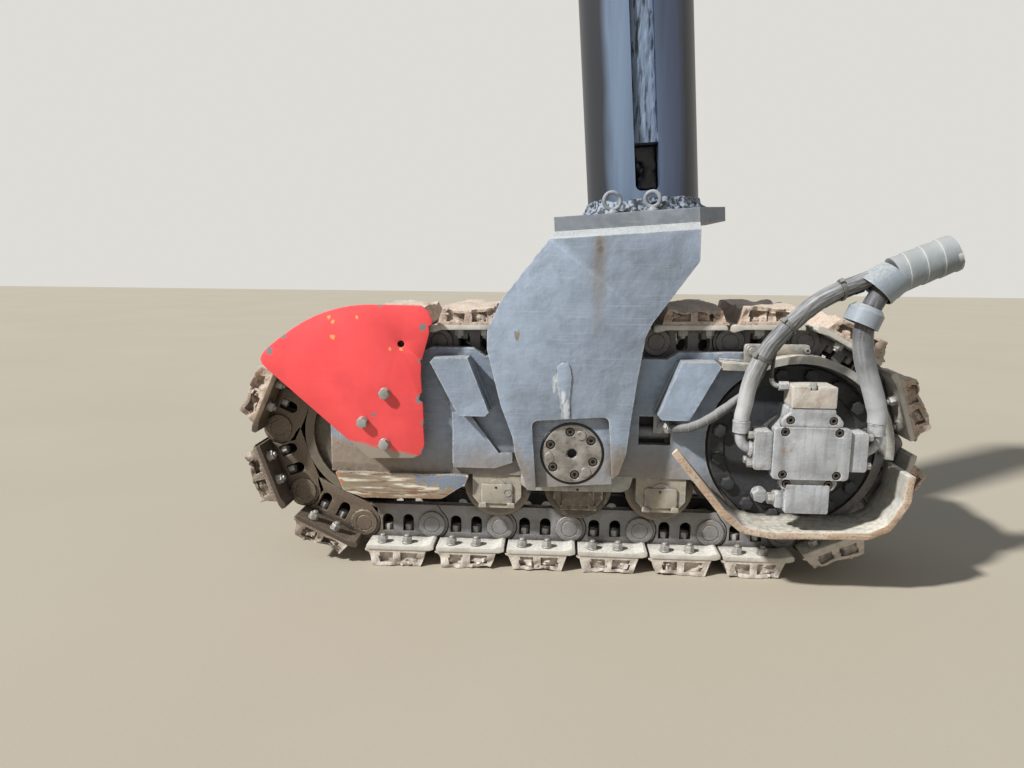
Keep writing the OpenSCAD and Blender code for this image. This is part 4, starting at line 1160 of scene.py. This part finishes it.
# final drive: rings of hex bolts on both flanges, and one large bolt below the motor
bm = bmesh.new()
for count, first, radius, y, side, across, height, spin, washer in (
        (16, 11, 0.168, -0.1345, -1, 0.027, 0.014, 0.9, 0.034),
        (12, 0, 0.104, 0.069, 1, 0.024, 0.013, 0.5, 0)):
    for k in range(count):
        angle = math.radians(first + k * 360 / count)
        at = (drive.x + radius * math.cos(angle), y, drive.z + radius * math.sin(angle))
        hexHead(bm, at, (0, side, 0), across, height, spin=k * spin, washer=washer)
finishPiece(bm, "housingBolts", [blackPrimerAndShade])
bm = bmesh.new()
hexHead(bm, (0.438, -0.1345, 0.208), (0, -1, 0), 0.031, 0.020, spin=0.25, washer=0.036)
finishPiece(bm, "drainBolt", [motorPaint])
# rings turned on the dark flange and drum
bm = bmesh.new()
turned(bm, [(0.078, 0), (0.150, 0), (0.153, 0.004), (0.186, 0.004), (0.1885, 0.0015), (0.1885, -0.004),
            (0.078, -0.004)], 72, aim((drive.x, -0.1347, drive.z), (0, -1, 0)))
finishPiece(bm, "housingFace", [blackPrimerAndShade])
print("drive made")


# hydraulic motor: cover, neck and lower flange in front of the body, blocks above and below
motor = {
    "face": -0.285, "lift": 0.018,
    "cover": [(-80, -56.5), (80, -56.5), (80, 56.5), (-80, 56.5)],
    "body": [(-72, -46), (-72, 44), (-60, 56), (-51, 66), (-48, 96), (48, 96), (51, 66), (60, 56), (72, 44),
             (72, -46), (58, -62), (-58, -62)],
    "neck": [(-63, 54), (-64, 68), (-56, 79), (-47, 86), (-46, 97), (46, 97), (47, 86), (56, 79), (64, 68),
             (63, 54)],
    "lower": [(-60, -54), (-61, -68), (-54, -80), (-45, -84), (45, -84), (54, -80), (61, -68), (60, -54)],
    "coverScrews": [(-57, 47), (55, 47), (-57, -46), (55, -46)],
    "neckScrews": [(-45.5, 71), (43.5, 71)], "lowerScrews": [(-45, -69), (43, -69)],
}
motorAt = drive + Vector((0, 0, motor["lift"]))
front = motor["face"]


def onMotor(x, deep, z):
    # millimetres across from the motor's middle, behind its front face, and up from its middle
    return Vector((motorAt.x + x * mm, front + deep * mm, motorAt.z + z * mm))


def motorSlab(bm, points, rounding, near, far, bevel, screws=(), hole=9.2):
    shape = roundedCorners(fromCentre(motorAt, points), rounding)
    cuts = [drilled(motorAt, x, z, hole) for x, z in screws]
    slab(bm, [shape] + cuts, front + near / 1000, front + far / 1000, bevel=bevel)


bm = bmesh.new()
motorSlab(bm, motor["cover"], 0.010, 0, 12, 0.0022, motor["coverScrews"], 9.6)
motorSlab(bm, motor["cover"], 0.010, 12, 22, 0.0012)
motorSlab(bm, [(x * 0.985, z * 0.98) for x, z in motor["cover"]], 0.010, 21, 26, 0)
finishPiece(bm, "motorCover", [motorPaint], ["motor_cover"])

bm = bmesh.new()
motorSlab(bm, motor["body"], 0.006, 24, 85, 0.003)
motorSlab(bm, motor["neck"], 0.007, 8, 25, 0.003, motor["neckScrews"])
motorSlab(bm, motor["neck"], 0.007, 20, 25, 0)
motorSlab(bm, motor["lower"], 0.007, 10.5, 25, 0.003, motor["lowerScrews"])
motorSlab(bm, motor["lower"], 0.007, 20, 25, 0)
motorSlab(bm, [(-46, -134), (46, -134), (46, -70), (-46, -70)], 0.005, 8, 69, 0.0035)
motorSlab(bm, [(-44, 90), (44, 90), (44, 101), (-44, 101)], 0.003, 12, 66, 0.001)
motorSlab(bm, [(-64, -126), (-45, -126), (-45, -92), (-58, -92), (-64, -98)], 0.004, 20, 50, 0.003)
finishPiece(bm, "motorHousing", [motorPaint], ["motor_body"])

bm = bmesh.new()
motorSlab(bm, [(-46, 98), (46, 98), (46, 144), (6, 144), (6, 136), (-10, 136), (-10, 144), (-46, 144)],
          [0.003, 0.003, 0.004, 0.002, 0.002, 0.002, 0.002, 0.004], 6, 24, 0.002)
motorSlab(bm, [(-46, 98), (46, 98), (46, 144), (-46, 144)], 0.004, 23, 69, 0.002)
finishPiece(bm, "motorTopBlock", [blockRust])

bm = bmesh.new()
for x, z in motor["coverScrews"]:
    socketHead(bm, onMotor(x, 11.8, z), (0, -1, 0), 0.0165, 0.0105, spin=x)
for x, z in motor["neckScrews"] + motor["lowerScrews"]:
    socketHead(bm, onMotor(x, 20, z), (0, -1, 0), 0.0160, 0.0115, spin=z)
finishPiece(bm, "motorScrews", [screwBlack])
bm = bmesh.new()
turned(bm, [(0, 0), (0.0085, 0), (0.0085, 0.006), (0.0060, 0.007), (0.0060, 0.009), (0, 0.009)], 20,
       aim(onMotor(-2, 15, 137), (0, 0, 1)))
hexHead(bm, onMotor(-2, 15, 143), (0, 0, 1), 0.013, 0.008, spin=0.5)
hexHead(bm, onMotor(-64, 34, -109), (-1, 0, 0), 0.022, 0.010, spin=0.4, washer=0.028)
finishPiece(bm, "motorPlugs", [fittingZinc])


# split flanges that hold the elbows, each with four screws, and the nuts the hoses are crimped on
portUp = 4
bolts, nuts = bmesh.new(), bmesh.new()
for side, name, node in ((-1, "splitFlangeLeft", "port_flange_left"),
                         (1, "splitFlangeRight", "port_flange_right")):
    x0, x1 = sorted((side * 80, side * 118))
    bm = bmesh.new()
    slab(bm, [traced([(x1, -38.5, 7), (x1, 46.5, 7), (x0, 46.5, 7), (x0, -38.5, 7)], motorAt, 4)],
         front + 0.006, front + 0.058, bevel=0.005, segments=3)
    turned(bm, [(0, 0), (0.021, 0), (0.021, 0.004), (0.0155, 0.008), (0, 0.008)], 28,
           aim(onMotor(side * 118, 32, portUp), (side, 0, 0)))
    finishPiece(bm, name, [motorPaint], [node])
    for up in (-31, 31):
        for deep in (17, 48):
            hexHead(bolts, onMotor(side * 117.5, deep, portUp + up), (side, 0, 0), 0.015, 0.010,
                    spin=up * 0.03 + deep * 0.009, washer=0.019)
    turned(nuts, [(0.0130, 0), (0.0172, 0), (0.0178, 0.002), (0.0178, 0.020), (0.0186, 0.0215),
                  (0.0186, 0.0255), (0.0130, 0.0258)], 24,
           aim(onMotor(side * 142, 32, portUp + 34), (0, 0, 1)))
finishPiece(bolts, "flangeBolts", [fittingZinc])
finishPiece(nuts, "hoseNuts", [motorPaint])
print("motor made")


# pivot caps: disc with six sunk screws, three smooth plugs and a threaded hole
cap = {
    "radius": 0.068, "front": 0.186, "step": 0.177, "back": 0.170, "centreHole": 12.5, "screwHole": 10.6,
    "threads": 7, "threadFrom": 0.1848, "threadStep": 0.0022, "sides": 72,
    "screws": [(-1.5, 51), (45, 28), (47, -22), (3.5, -50), (-45.5, -29.5), (-48, 24)],
    "plugs": [(23, 42), (-53, -6), (29.5, -45)],
}
capDisc, capScrews = bmesh.new(), bmesh.new()
for side in (-1, 1):
    rim = ringPoints((0, pivot.z), cap["radius"], 0, 355, cap["sides"])
    holes = [drilled(pivot, 0, 0, cap["centreHole"])]
    holes += [drilled(pivot, x, z, cap["screwHole"]) for x, z in cap["screws"]]
    slab(capDisc, [rim] + holes, side * cap["front"], side * cap["step"], bevel=0.0013)
    rim = ringPoints((0, pivot.z), cap["radius"] - 0.0005, 0, 355, cap["sides"])
    slab(capDisc, [rim, drilled(pivot, 0, 0, cap["centreHole"] - 2.2)], side * 0.1775, side * cap["back"])
    for x, z in fromCentre(pivot, cap["plugs"]):
        turned(capDisc, [(0.0112, -0.002), (0.0112, 0.0016), (0.0104, 0.0024), (0, 0.0026)], 24,
               aim((x, side * cap["front"], z), (0, side, 0)))
    for k in range(cap["threads"]):
        y = side * (cap["threadFrom"] - k * cap["threadStep"])
        turned(capDisc, [(0.0126, -0.0009), (0.0112, 0), (0.0126, 0.0009)], 24,
               aim((0, y, pivot.z), (0, side, 0)))
    for n, (x, z) in enumerate(fromCentre(pivot, cap["screws"])):
        socketHead(capScrews, (x, side * 0.1765, z), (0, side, 0), 0.0178, 0.0085, spin=n * 1.1)
finishPiece(capDisc, "pivotCaps", [capSteel], ["pin_cap_near", "pin_cap_far"], body="leg")
finishPiece(capScrews, "pivotCapScrews", [screwBlack], body="leg")
print("pivot caps made")


# boot that gathers the hoses: a shell with a slanting mouth, black inside as painted shade
boot = {"mouth": (111.2, -247, 362.4), "mouthRadius": 0.045, "end": (157.7, -247, 395.9), "endRadius": 0.0385,
        "slant": 40.5, "wall": 0.003}


def bootRing(bm, centre, radius, slant, count=56):
    ring = bmesh.ops.create_circle(bm, segments=count, radius=radius)["verts"]
    place = Matrix.Translation(centre) @ Matrix.Rotation(math.radians(slant), 4, "Y")
    bmesh.ops.transform(bm, matrix=place, verts=ring)
    return edgesAt(ring)


def bootShell():
    start = drive + Vector(boot["mouth"]) / 1000
    end = drive + Vector(boot["end"]) / 1000
    r0, r1, wall = boot["mouthRadius"], boot["endRadius"], boot["wall"]
    # place along the boot and radius there: up the inside of the mouth, round its lip, along the outside
    rows = [(0.52, r0 * 0.72 - wall), (0.45, r0 * 0.9 - wall), (0.10, r0 - wall), (0.02, r0 - wall * 0.9),
            (0.0, r0 - wall * 0.45), (0.015, r0 - wall * 0.1), (0.06, r0)]
    for t in (0.14, 0.26, 0.38, 0.5, 0.62, 0.74, 0.86):
        rows.append((t, r0 + (r1 - r0) * t + 0.0006 * math.sin(t * 19)))
    rows += [(1.0, r1), (1.02, r1 * 0.9)]
    bm = bmesh.new()
    rings = [bootRing(bm, start.lerp(end, t), radius, boot["slant"]) for t, radius in rows]
    for a, b in zip(rings, rings[1:]):
        bmesh.ops.bridge_loops(bm, edges=a + b)
    for ring in (rings[0], rings[-1]):
        bmesh.ops.contextual_create(bm, geom=ring)
    faceOut(bm)
    for f in bm.faces:
        # the inside, seen through the mouth, gets the black primer as painted shade
        middle = f.calc_center_median()
        if (middle - start).dot((end - start).normalized()) > 0.006 and f.normal.length:
            f.material_index = 1 if (start.lerp(end, 0.3) - middle).dot(f.normal) > 0 else 0
    finishPiece(bm, "hoseBoot", [bootRubber, blackPrimerAndShade], ["sleeve_boot"], soft=50)


bootShell()


# first turns of the wrapped sleeve, with the couplings of the hoses in its open end
sleeve = {"from": (151.7, -247, 392.9), "lean": math.radians(67), "length": 0.123, "radius": 0.0395,
          "turn": 0.035, "step": 0.055}
sleeveStart = drive + Vector(sleeve["from"]) / 1000
sleeveWay = Vector((math.sin(sleeve["lean"]), 0, math.cos(sleeve["lean"])))


def wrappedRadius(s, a):
    return sleeve["radius"] * (1 - sleeve["step"] * ((s / sleeve["turn"] + a / 2 / math.pi) % 1))


bm, path = sweptTube([sleeveStart + sleeveWay * sleeve["length"] * t for t in (0, 0.33, 0.66, 1)],
                     wrappedRadius, 48, 0.0035)
# the end that faces away is sunk inside its rim and painted black, a painted shade in the open sleeve
ends = [f for f in bm.faces if len(f.verts) > 10]
far = max(ends, key=lambda f: f.calc_center_median().x)
bmesh.ops.inset_region(bm, faces=[far], thickness=0.004, depth=0)
bmesh.ops.translate(bm, vec=-sleeveWay * 0.022, verts=far.verts)
far.material_index = 1
finishPiece(bm, "sleeveTurns", [wrapSleeve, blackPrimerAndShade], ["sleeve_end"], soft=40)
bm = bmesh.new()
sideWay = Vector((0, 1, 0))
overWay = sideWay.cross(sleeveWay) * -1
for dx, dy, radius in ((-0.014, 0.009, 0.0165), (0.016, 0.012, 0.0150), (0.001, -0.021, 0.0115),
                       (-0.024, -0.018, 0.0060)):
    at = sleeveStart + sleeveWay * (sleeve["length"] - 0.024) + sideWay * dx + overWay * dy
    steps = [(0, 0), (1, 0), (1, 0.012), (0.86, 0.013), (0.86, 0.017), (0.95, 0.018), (0.95, 0.026),
             (0.85, 0.0275), (0.62, 0.0275), (0.55, 0.018), (0, 0.018)]
    turned(bm, [(radius * part, height) for part, height in steps], 24, aim(at, sleeveWay))
finishPiece(bm, "hoseCouplings", [fittingZinc])


# ties that hold the drain hose to the left-hand hose
def beltRound(a, ra, b, rb, count=26):
    # belt round two circles
    between = b - a
    tilt = math.atan2(between.y, between.x)
    opening = math.acos(max(-1, min(1, (ra - rb) / between.length)))
    left = ringPoints(a, ra, math.degrees(tilt + opening), math.degrees(tilt + 2 * math.pi - opening), count)
    right = ringPoints(b, rb, math.degrees(tilt - opening), math.degrees(tilt + opening), count)
    return left + right


def tieBand(bm, line, other, height, radius, otherRadius, width=0.0075):
    near = min(range(1, len(line) - 1), key=lambda k: abs(line[k].z - height))
    at, ahead = line[near], wayAt(line, near)
    beside = min(other, key=lambda p: abs((p - at).dot(ahead)))
    side = Vector((0, 1, 0))
    turn = Matrix((side, ahead, side.cross(ahead).normalized())).transposed().to_4x4()
    place = Matrix.Translation(at) @ turn
    second = place.inverted() @ beside
    a, b = Vector((0, 0)), Vector((second.x, second.z))
    loops = [beltRound(a, radius + thick, b, otherRadius + thick) for thick in (0.0022, 0.0004)]
    slab(bm, loops, -width / 2, width / 2, bevel=0.0005, segments=1, place=place)
    # the head of the tie, a little round the hose
    low, high = -radius - 0.0065, -radius - 0.0010
    head = [(-0.006, low), (0.006, low), (0.006, high), (-0.006, high)]
    slab(bm, [head], -0.005, 0.005, bevel=0.001, segments=1, place=place @ Matrix.Rotation(0.6, 4, "Y"))


bm = bmesh.new()
leftLine, drainLine = (smoothLine(routeOf(name), routeStep) for name in ("pressureLeft", "drain"))
for height in (0.543, 0.612, 0.692):
    tieBand(bm, leftLine, drainLine, height, 0.017, 0.011)
finishPiece(bm, "hoseTies", [tieNylon])
print("hoses gathered")


# grease in the column's groove and pocket, the pocket's near black also a painted shade, and caked round its
# foot
column = {"x": 0.200, "grooveHalf": 0.0268, "grooveFloor": -0.1120, "pocketLow": 0.885, "pocketHigh": 0.990,
          "pocketBack": -0.082, "foot": 0.838, "top": 1.850}


def greaseStrip(name, coat, z0, z1, y, thick, lump, seed, cellsX, cellsZ):
    bm = bmesh.new()
    x0, x1 = column["x"] - column["grooveHalf"], column["x"] + column["grooveHalf"]
    made = bmesh.ops.create_grid(bm, x_segments=cellsX, y_segments=cellsZ, size=0.5)["verts"]
    for v in made:
        u, w = v.co.x + 0.5, v.co.y + 0.5
        rim = min(1, min(u, 1 - u) * 8) * min(1, min(w, 1 - w) * 30)
        x, z = x0 + (x1 - x0) * u, z0 + (z1 - z0) * w
        height = noise.fractal(Vector((x / 0.012, z / 0.060, seed)), 0.8, 2.0, 3)
        v.co = Vector((x, y - rim * (thick * 0.4 + max(0, height) * lump), z))
    faces = unique(f for v in made for f in v.link_faces)
    for v in vertsIn(drawOut(bm, faces, (0, 0, 0))):
        v.co.y = y + 0.0006
    faceOut(bm)
    finishPiece(bm, name, [coat], soft=80, body="leg")


greaseStrip("grooveGrease", grooveGrease, column["pocketHigh"], column["top"] - 0.004, column["grooveFloor"],
            0.004, 0.0045, 3.0, 16, 190)
greaseStrip("pocketGreaseShade", pocketGreaseShade, column["pocketLow"] + 0.003, column["pocketHigh"] - 0.001,
            column["pocketBack"], 0.006, 0.016, 9.0, 12, 24)


# a swollen collar of grease round the foot, with lumps fallen off it
def greaseCollar():
    inner, x0, foot = 0.1285, column["x"], column["foot"]
    bm = bmesh.new()
    turned(bm, [(inner, 0), (0.150, 0), (0.149, 0.005), (0.143, 0.010), (0.137, 0.015), (0.134, 0.022),
                (0.1325, 0.030), (inner, 0.032)], 220, Matrix.Translation((x0, 0, foot)))
    for v in bm.verts:
        out = Vector((v.co.x - x0, v.co.y, 0))
        reach = out.length
        if reach > inner + 0.0007:
            angle = math.atan2(out.y, out.x)
            swell = (noise.noise(v.co / 0.022) * 0.5 + noise.noise(v.co / 0.0065) * 0.22 + 0.15
                     + 0.5 * noise.noise(Vector((angle * 1.3, 0, 0))))
            v.co += out.normalized() * swell * 0.013 * min(1, (reach - inner) / 0.008)
            if v.co.z > foot + 0.001:
                v.co.z += max(-0.006, swell * 0.016 - 0.004)
    for _ in range(64):
        angle = random.uniform(0, 2 * math.pi)
        if -2.45 < angle - 2 * math.pi < -1.25:
            # none in front of the groove, where the eye bolts stand
            angle -= 2.2
        reach = random.uniform(0.134, 0.168)
        size = random.uniform(0.002, 0.0055)
        at = Vector((x0 + reach * math.cos(angle), reach * math.sin(angle), foot + size * 0.3))
        lump = bmesh.ops.create_icosphere(bm, subdivisions=2, radius=size)["verts"]
        for v in lump:
            v.co *= 1 + 0.7 * noise.noise(v.co / 0.005 + at * 50)
            v.co.z = max(v.co.z * 0.55, -size * 0.29)
        bmesh.ops.translate(bm, vec=at, verts=lump)
    faceOut(bm)
    finishPiece(bm, "footGrease", [footGrease], soft=80, body="leg")


greaseCollar()


# lifting eye bolts in the head plate, either side of the groove
bm = bmesh.new()
upright = Matrix.Rotation(math.pi / 2, 4, "X")
for x, major, tilt in ((0.118, 0.0185, 0.15), (0.206, 0.0165, -0.25)):
    foot = Vector((x, -0.152, column["foot"]))
    turned(bm, [(0, 0), (0.0130, 0), (0.0130, 0.004), (0.0085, 0.007), (0.0070, 0.010), (0, 0.010)], 24,
           Matrix.Translation(foot))
    circle = bmesh.ops.create_circle(bm, segments=12, radius=0.0048)["verts"]
    bmesh.ops.transform(bm, matrix=Matrix.Translation((major, 0, 0)) @ upright, verts=circle)
    before = set(bm.verts) - set(circle)
    bmesh.ops.spin(bm, geom=circle + edgesAt(circle), cent=(0, 0, 0), axis=(0, 0, 1), angle=2 * math.pi,
                   steps=32, use_merge=True)
    place = Matrix.Translation(foot + Vector((0, 0, 0.009 + major))) @ Matrix.Rotation(tilt, 4, "Z") @ upright
    bmesh.ops.transform(bm, matrix=place, verts=[v for v in bm.verts if v not in before])
bmesh.ops.remove_doubles(bm, verts=bm.verts, dist=1e-6)
faceOut(bm)
finishPiece(bm, "eyeBolts", [eyeIron], soft=60, body="leg")


# cheek plates of the yoke: outline from the pivot, rounded edges, top edge bevelled and welded
cheek = {
    "outline": [(-12, 502, 0), (-28, 483, 8), (-137, 363, 30), (-174, 296, 40), (-177, 252, 40),
                (-155, 125, 0), (-133, 50, 12), (-129, 5, 0), (-112, -54, 6), (-108, -77, 3), (-87, -77, 2),
                (-87, 85, 16), (87, 85, 16), (87, -60, 0), (103, -49, 8), (122, -2, 10), (135, 71, 0),
                (151, 152, 0), (175, 260, 0), (191, 290, 0), (297, 418, 12), (302, 502, 0)],
    "tongue": [(-19, 86, 0), (-20, 130, 20), (-26, 172, 14), (-22, 207, 14), (-8, 217, 12), (5, 210, 12),
               (9, 180, 14), (1, 130, 20), (0, 86, 0)],
    "face": 0.203, "back": 0.163, "bevel": 0.016, "top": 0.807,
}
bm = bmesh.new()
for side in (-1, 1):
    plate = bmesh.new()
    slab(plate, [traced(cheek["outline"], pivot)], side * cheek["face"], side * cheek["back"], bevel=0.0012)
    slope = Vector((0, side, 1)).normalized()
    corner = Vector((0, side * cheek["face"], cheek["top"] - cheek["bevel"]))
    bmesh.ops.bisect_plane(plate, geom=allOf(plate), plane_co=corner, plane_no=slope, clear_outer=True)
    bmesh.ops.edgenet_fill(plate, edges=[e for e in plate.edges if len(e.link_faces) == 1])
    faceOut(plate)
    for f in plate.faces:
        f.material_index = 1 if f.normal.dot(slope) > 0.95 else 0
    slab(plate, [traced(cheek["tongue"], pivot)], side * 0.2058, side * 0.2025, bevel=0.0016)
    pour(plate, bm)
finishPiece(bm, "cheekPlates", [framePaint, weldPaint], ["cheek_near", "cheek_far"],
            body="leg")


# weld beads, rippled by the welder's steps
def weldBead(bm, points, radius):
    bead = sweptTube([Vector(p) for p in points], lambda s, a: radius * (
        1 + 0.10 * math.sin(s / 0.0022) + 0.05 * math.sin(s / 0.017)), 8, 0.0035)[0]
    pour(bead, bm)


bm = bmesh.new()
for side in (-1, 1):
    y = side * sidePlate
    for flip in (-1, 1):
        weldBead(bm, [(flip * 0.328, y, 0.508), (flip * 0.295, y, 0.448), (flip * 0.2635, y, 0.388)], 0.0042)
        weldBead(bm, [(flip * 0.1905, y, 0.400), (flip * 0.215, y, 0.458), (flip * 0.239, y, 0.516)], 0.0042)
    weldBead(bm, [(-0.280, y, 0.262), (-0.280, y, 0.32), (-0.280, y, 0.386)], 0.0035)
weldBead(bm, [(x, -sidePlate, z) for x, z in ((0.330, 0.5225), (0.37, 0.5205), (0.409, 0.5185))], 0.0035)
finishPiece(bm, "frameWelds", [weldPaint], soft=70)
print("grease, eyes and welds made")


# inner beam of the box frame and a black sheet behind it as painted shade, seen through the window in its
# side
bm = bmesh.new()
slab(bm, [[(0.140, 0.300), (0.236, 0.300), (0.236, 0.400), (0.140, 0.400)]], -0.098, -0.092, bevel=0.001,
     segments=1)
finishPiece(bm, "windowShadeSheet", [blackPrimerAndShade])
bm = bmesh.new()
turned(bm, [(0, 0), (0.016, 0), (0.016, 0.094), (0, 0.094)], 28, aim((0.141, -0.106, 0.342), (1, 0, 0)))
finishPiece(bm, "windowBeam", [headPaint], soft=60)


# cover over the slot of the tension arm, behind the guard's worn corner
bm = bmesh.new()
slab(bm, [[(-0.5655, 0.250), (-0.462, 0.250), (-0.462, 0.392), (-0.5765, 0.392)]], -0.1358, -0.1330,
     bevel=0.0006)
finishPiece(bm, "armCover", [framePaint])


# black grease round each pivot cap, also a painted shade in its gap, and the lobes of the side plates below
# the pivot
gapRing = [(0.0665, 0.0), (0.0735, 0.0), (0.0728, 0.0012), (0.0690, 0.0018), (0.0665, 0.0018), (0.0665, 0.0)]
lobeLine = [(-119, -65, 0), (-119, -92, 12), (-98, -106, 12), (120, -104, 14), (138, -94, 12), (146, -65, 0)]
gaps, lobes = bmesh.new(), bmesh.new()
for side in (-1, 1):
    turned(gaps, gapRing, 96, aim((0, side * 0.1838, pivot.z), (0, side, 0)))
    slab(lobes, [traced(lobeLine, pivot)], side * 0.1368, side * 0.1325, bevel=0.0006)
finishPiece(gaps, "capGaps", [pocketGreaseShade], soft=60, body="leg")
finishPiece(lobes, "pivotLobes", [dustyPaint])


# finishes for the CAD solids that keep their shape
dress(framePaint, "track_frame", "stop_front_near", "stop_front_far", "stop_rear_near", "stop_rear_far",
      "yoke_web_front", "yoke_web_rear", "bearing_block_near", "bearing_block_far")
dress(muddyPaint, "roller_shaft_1", "roller_shaft_2", "roller_shaft_3")
dress(dustyPaint, "arch_guard")
dress(headPaint, "head_plate")
dress(wheelIron, "idler", "idler_carriage", "roller_1", "roller_2", "roller_3", "sprocket")
dress(blackPrimerAndShade, "final_drive", "pivot_pin_near", "pivot_pin_far")
dress(motorPaint, "elbow_left", "elbow_right", "drain_gland", "case_fitting")
dress(bootRubber, "hose_cap")
dress(columnSteel, "column")


# floor, light and pale background
def paleFloor():
    material, tree, shader, place = startMaterial("paleFloor")
    fine = grain(tree, place, 0.01, detail=6)
    finishMaterial(tree, shader, blend(tree, "#b5ac9b", "#aca28f", grain(tree, place, 0.9)), 0.9,
                   [(fine, 0.12, 0.002)])
    return material


bm = bmesh.new()
bmesh.ops.create_grid(bm, x_segments=2, y_segments=2, size=14)
floorMesh = bpy.data.meshes.new("floor")
bm.to_mesh(floorMesh)
bm.free()
floorMesh.materials.append(paleFloor())
floor = addObject("floor", floorMesh)

light = {"sunPower": 4.7, "sunAngle": 3.5, "sunFrom": (-0.63, -0.42, 0.67), "skyPower": 0.34,
         "palePower": 0.9}
sunData = bpy.data.lights.new("softSun", "SUN")
sunData.energy = light["sunPower"]
sunData.angle = math.radians(light["sunAngle"])
addObject("softSun", sunData).rotation_euler = Vector(light["sunFrom"]).to_track_quat("Z", "Y").to_euler()

# the sky lights the scene softly, and looks pale and even where it is seen
world = bpy.data.worlds.new("paleWorld")
world.use_nodes = True
tree = world.node_tree
tree.nodes.clear()
seen = addNode(tree, "LightPath").outputs
direct = maths(tree, "MAXIMUM", seen["Is Camera Ray"], seen["Is Glossy Ray"])
direct = maths(tree, "MAXIMUM", direct, seen["Is Transmission Ray"])
soft = addNode(tree, "Background", {"Color": "#dbe5f2", "Strength": light["skyPower"]}).outputs[0]
pale = addNode(tree, "Background", {"Color": "#e9e7e2", "Strength": light["palePower"]}).outputs[0]
mixed = addNode(tree, "MixShader", links={0: direct, 1: soft, 2: pale}).outputs[0]
addNode(tree, "OutputWorld", links={"Surface": mixed})
scene.world = world
scene.view_settings.view_transform = "Standard"
print("floor and light set")
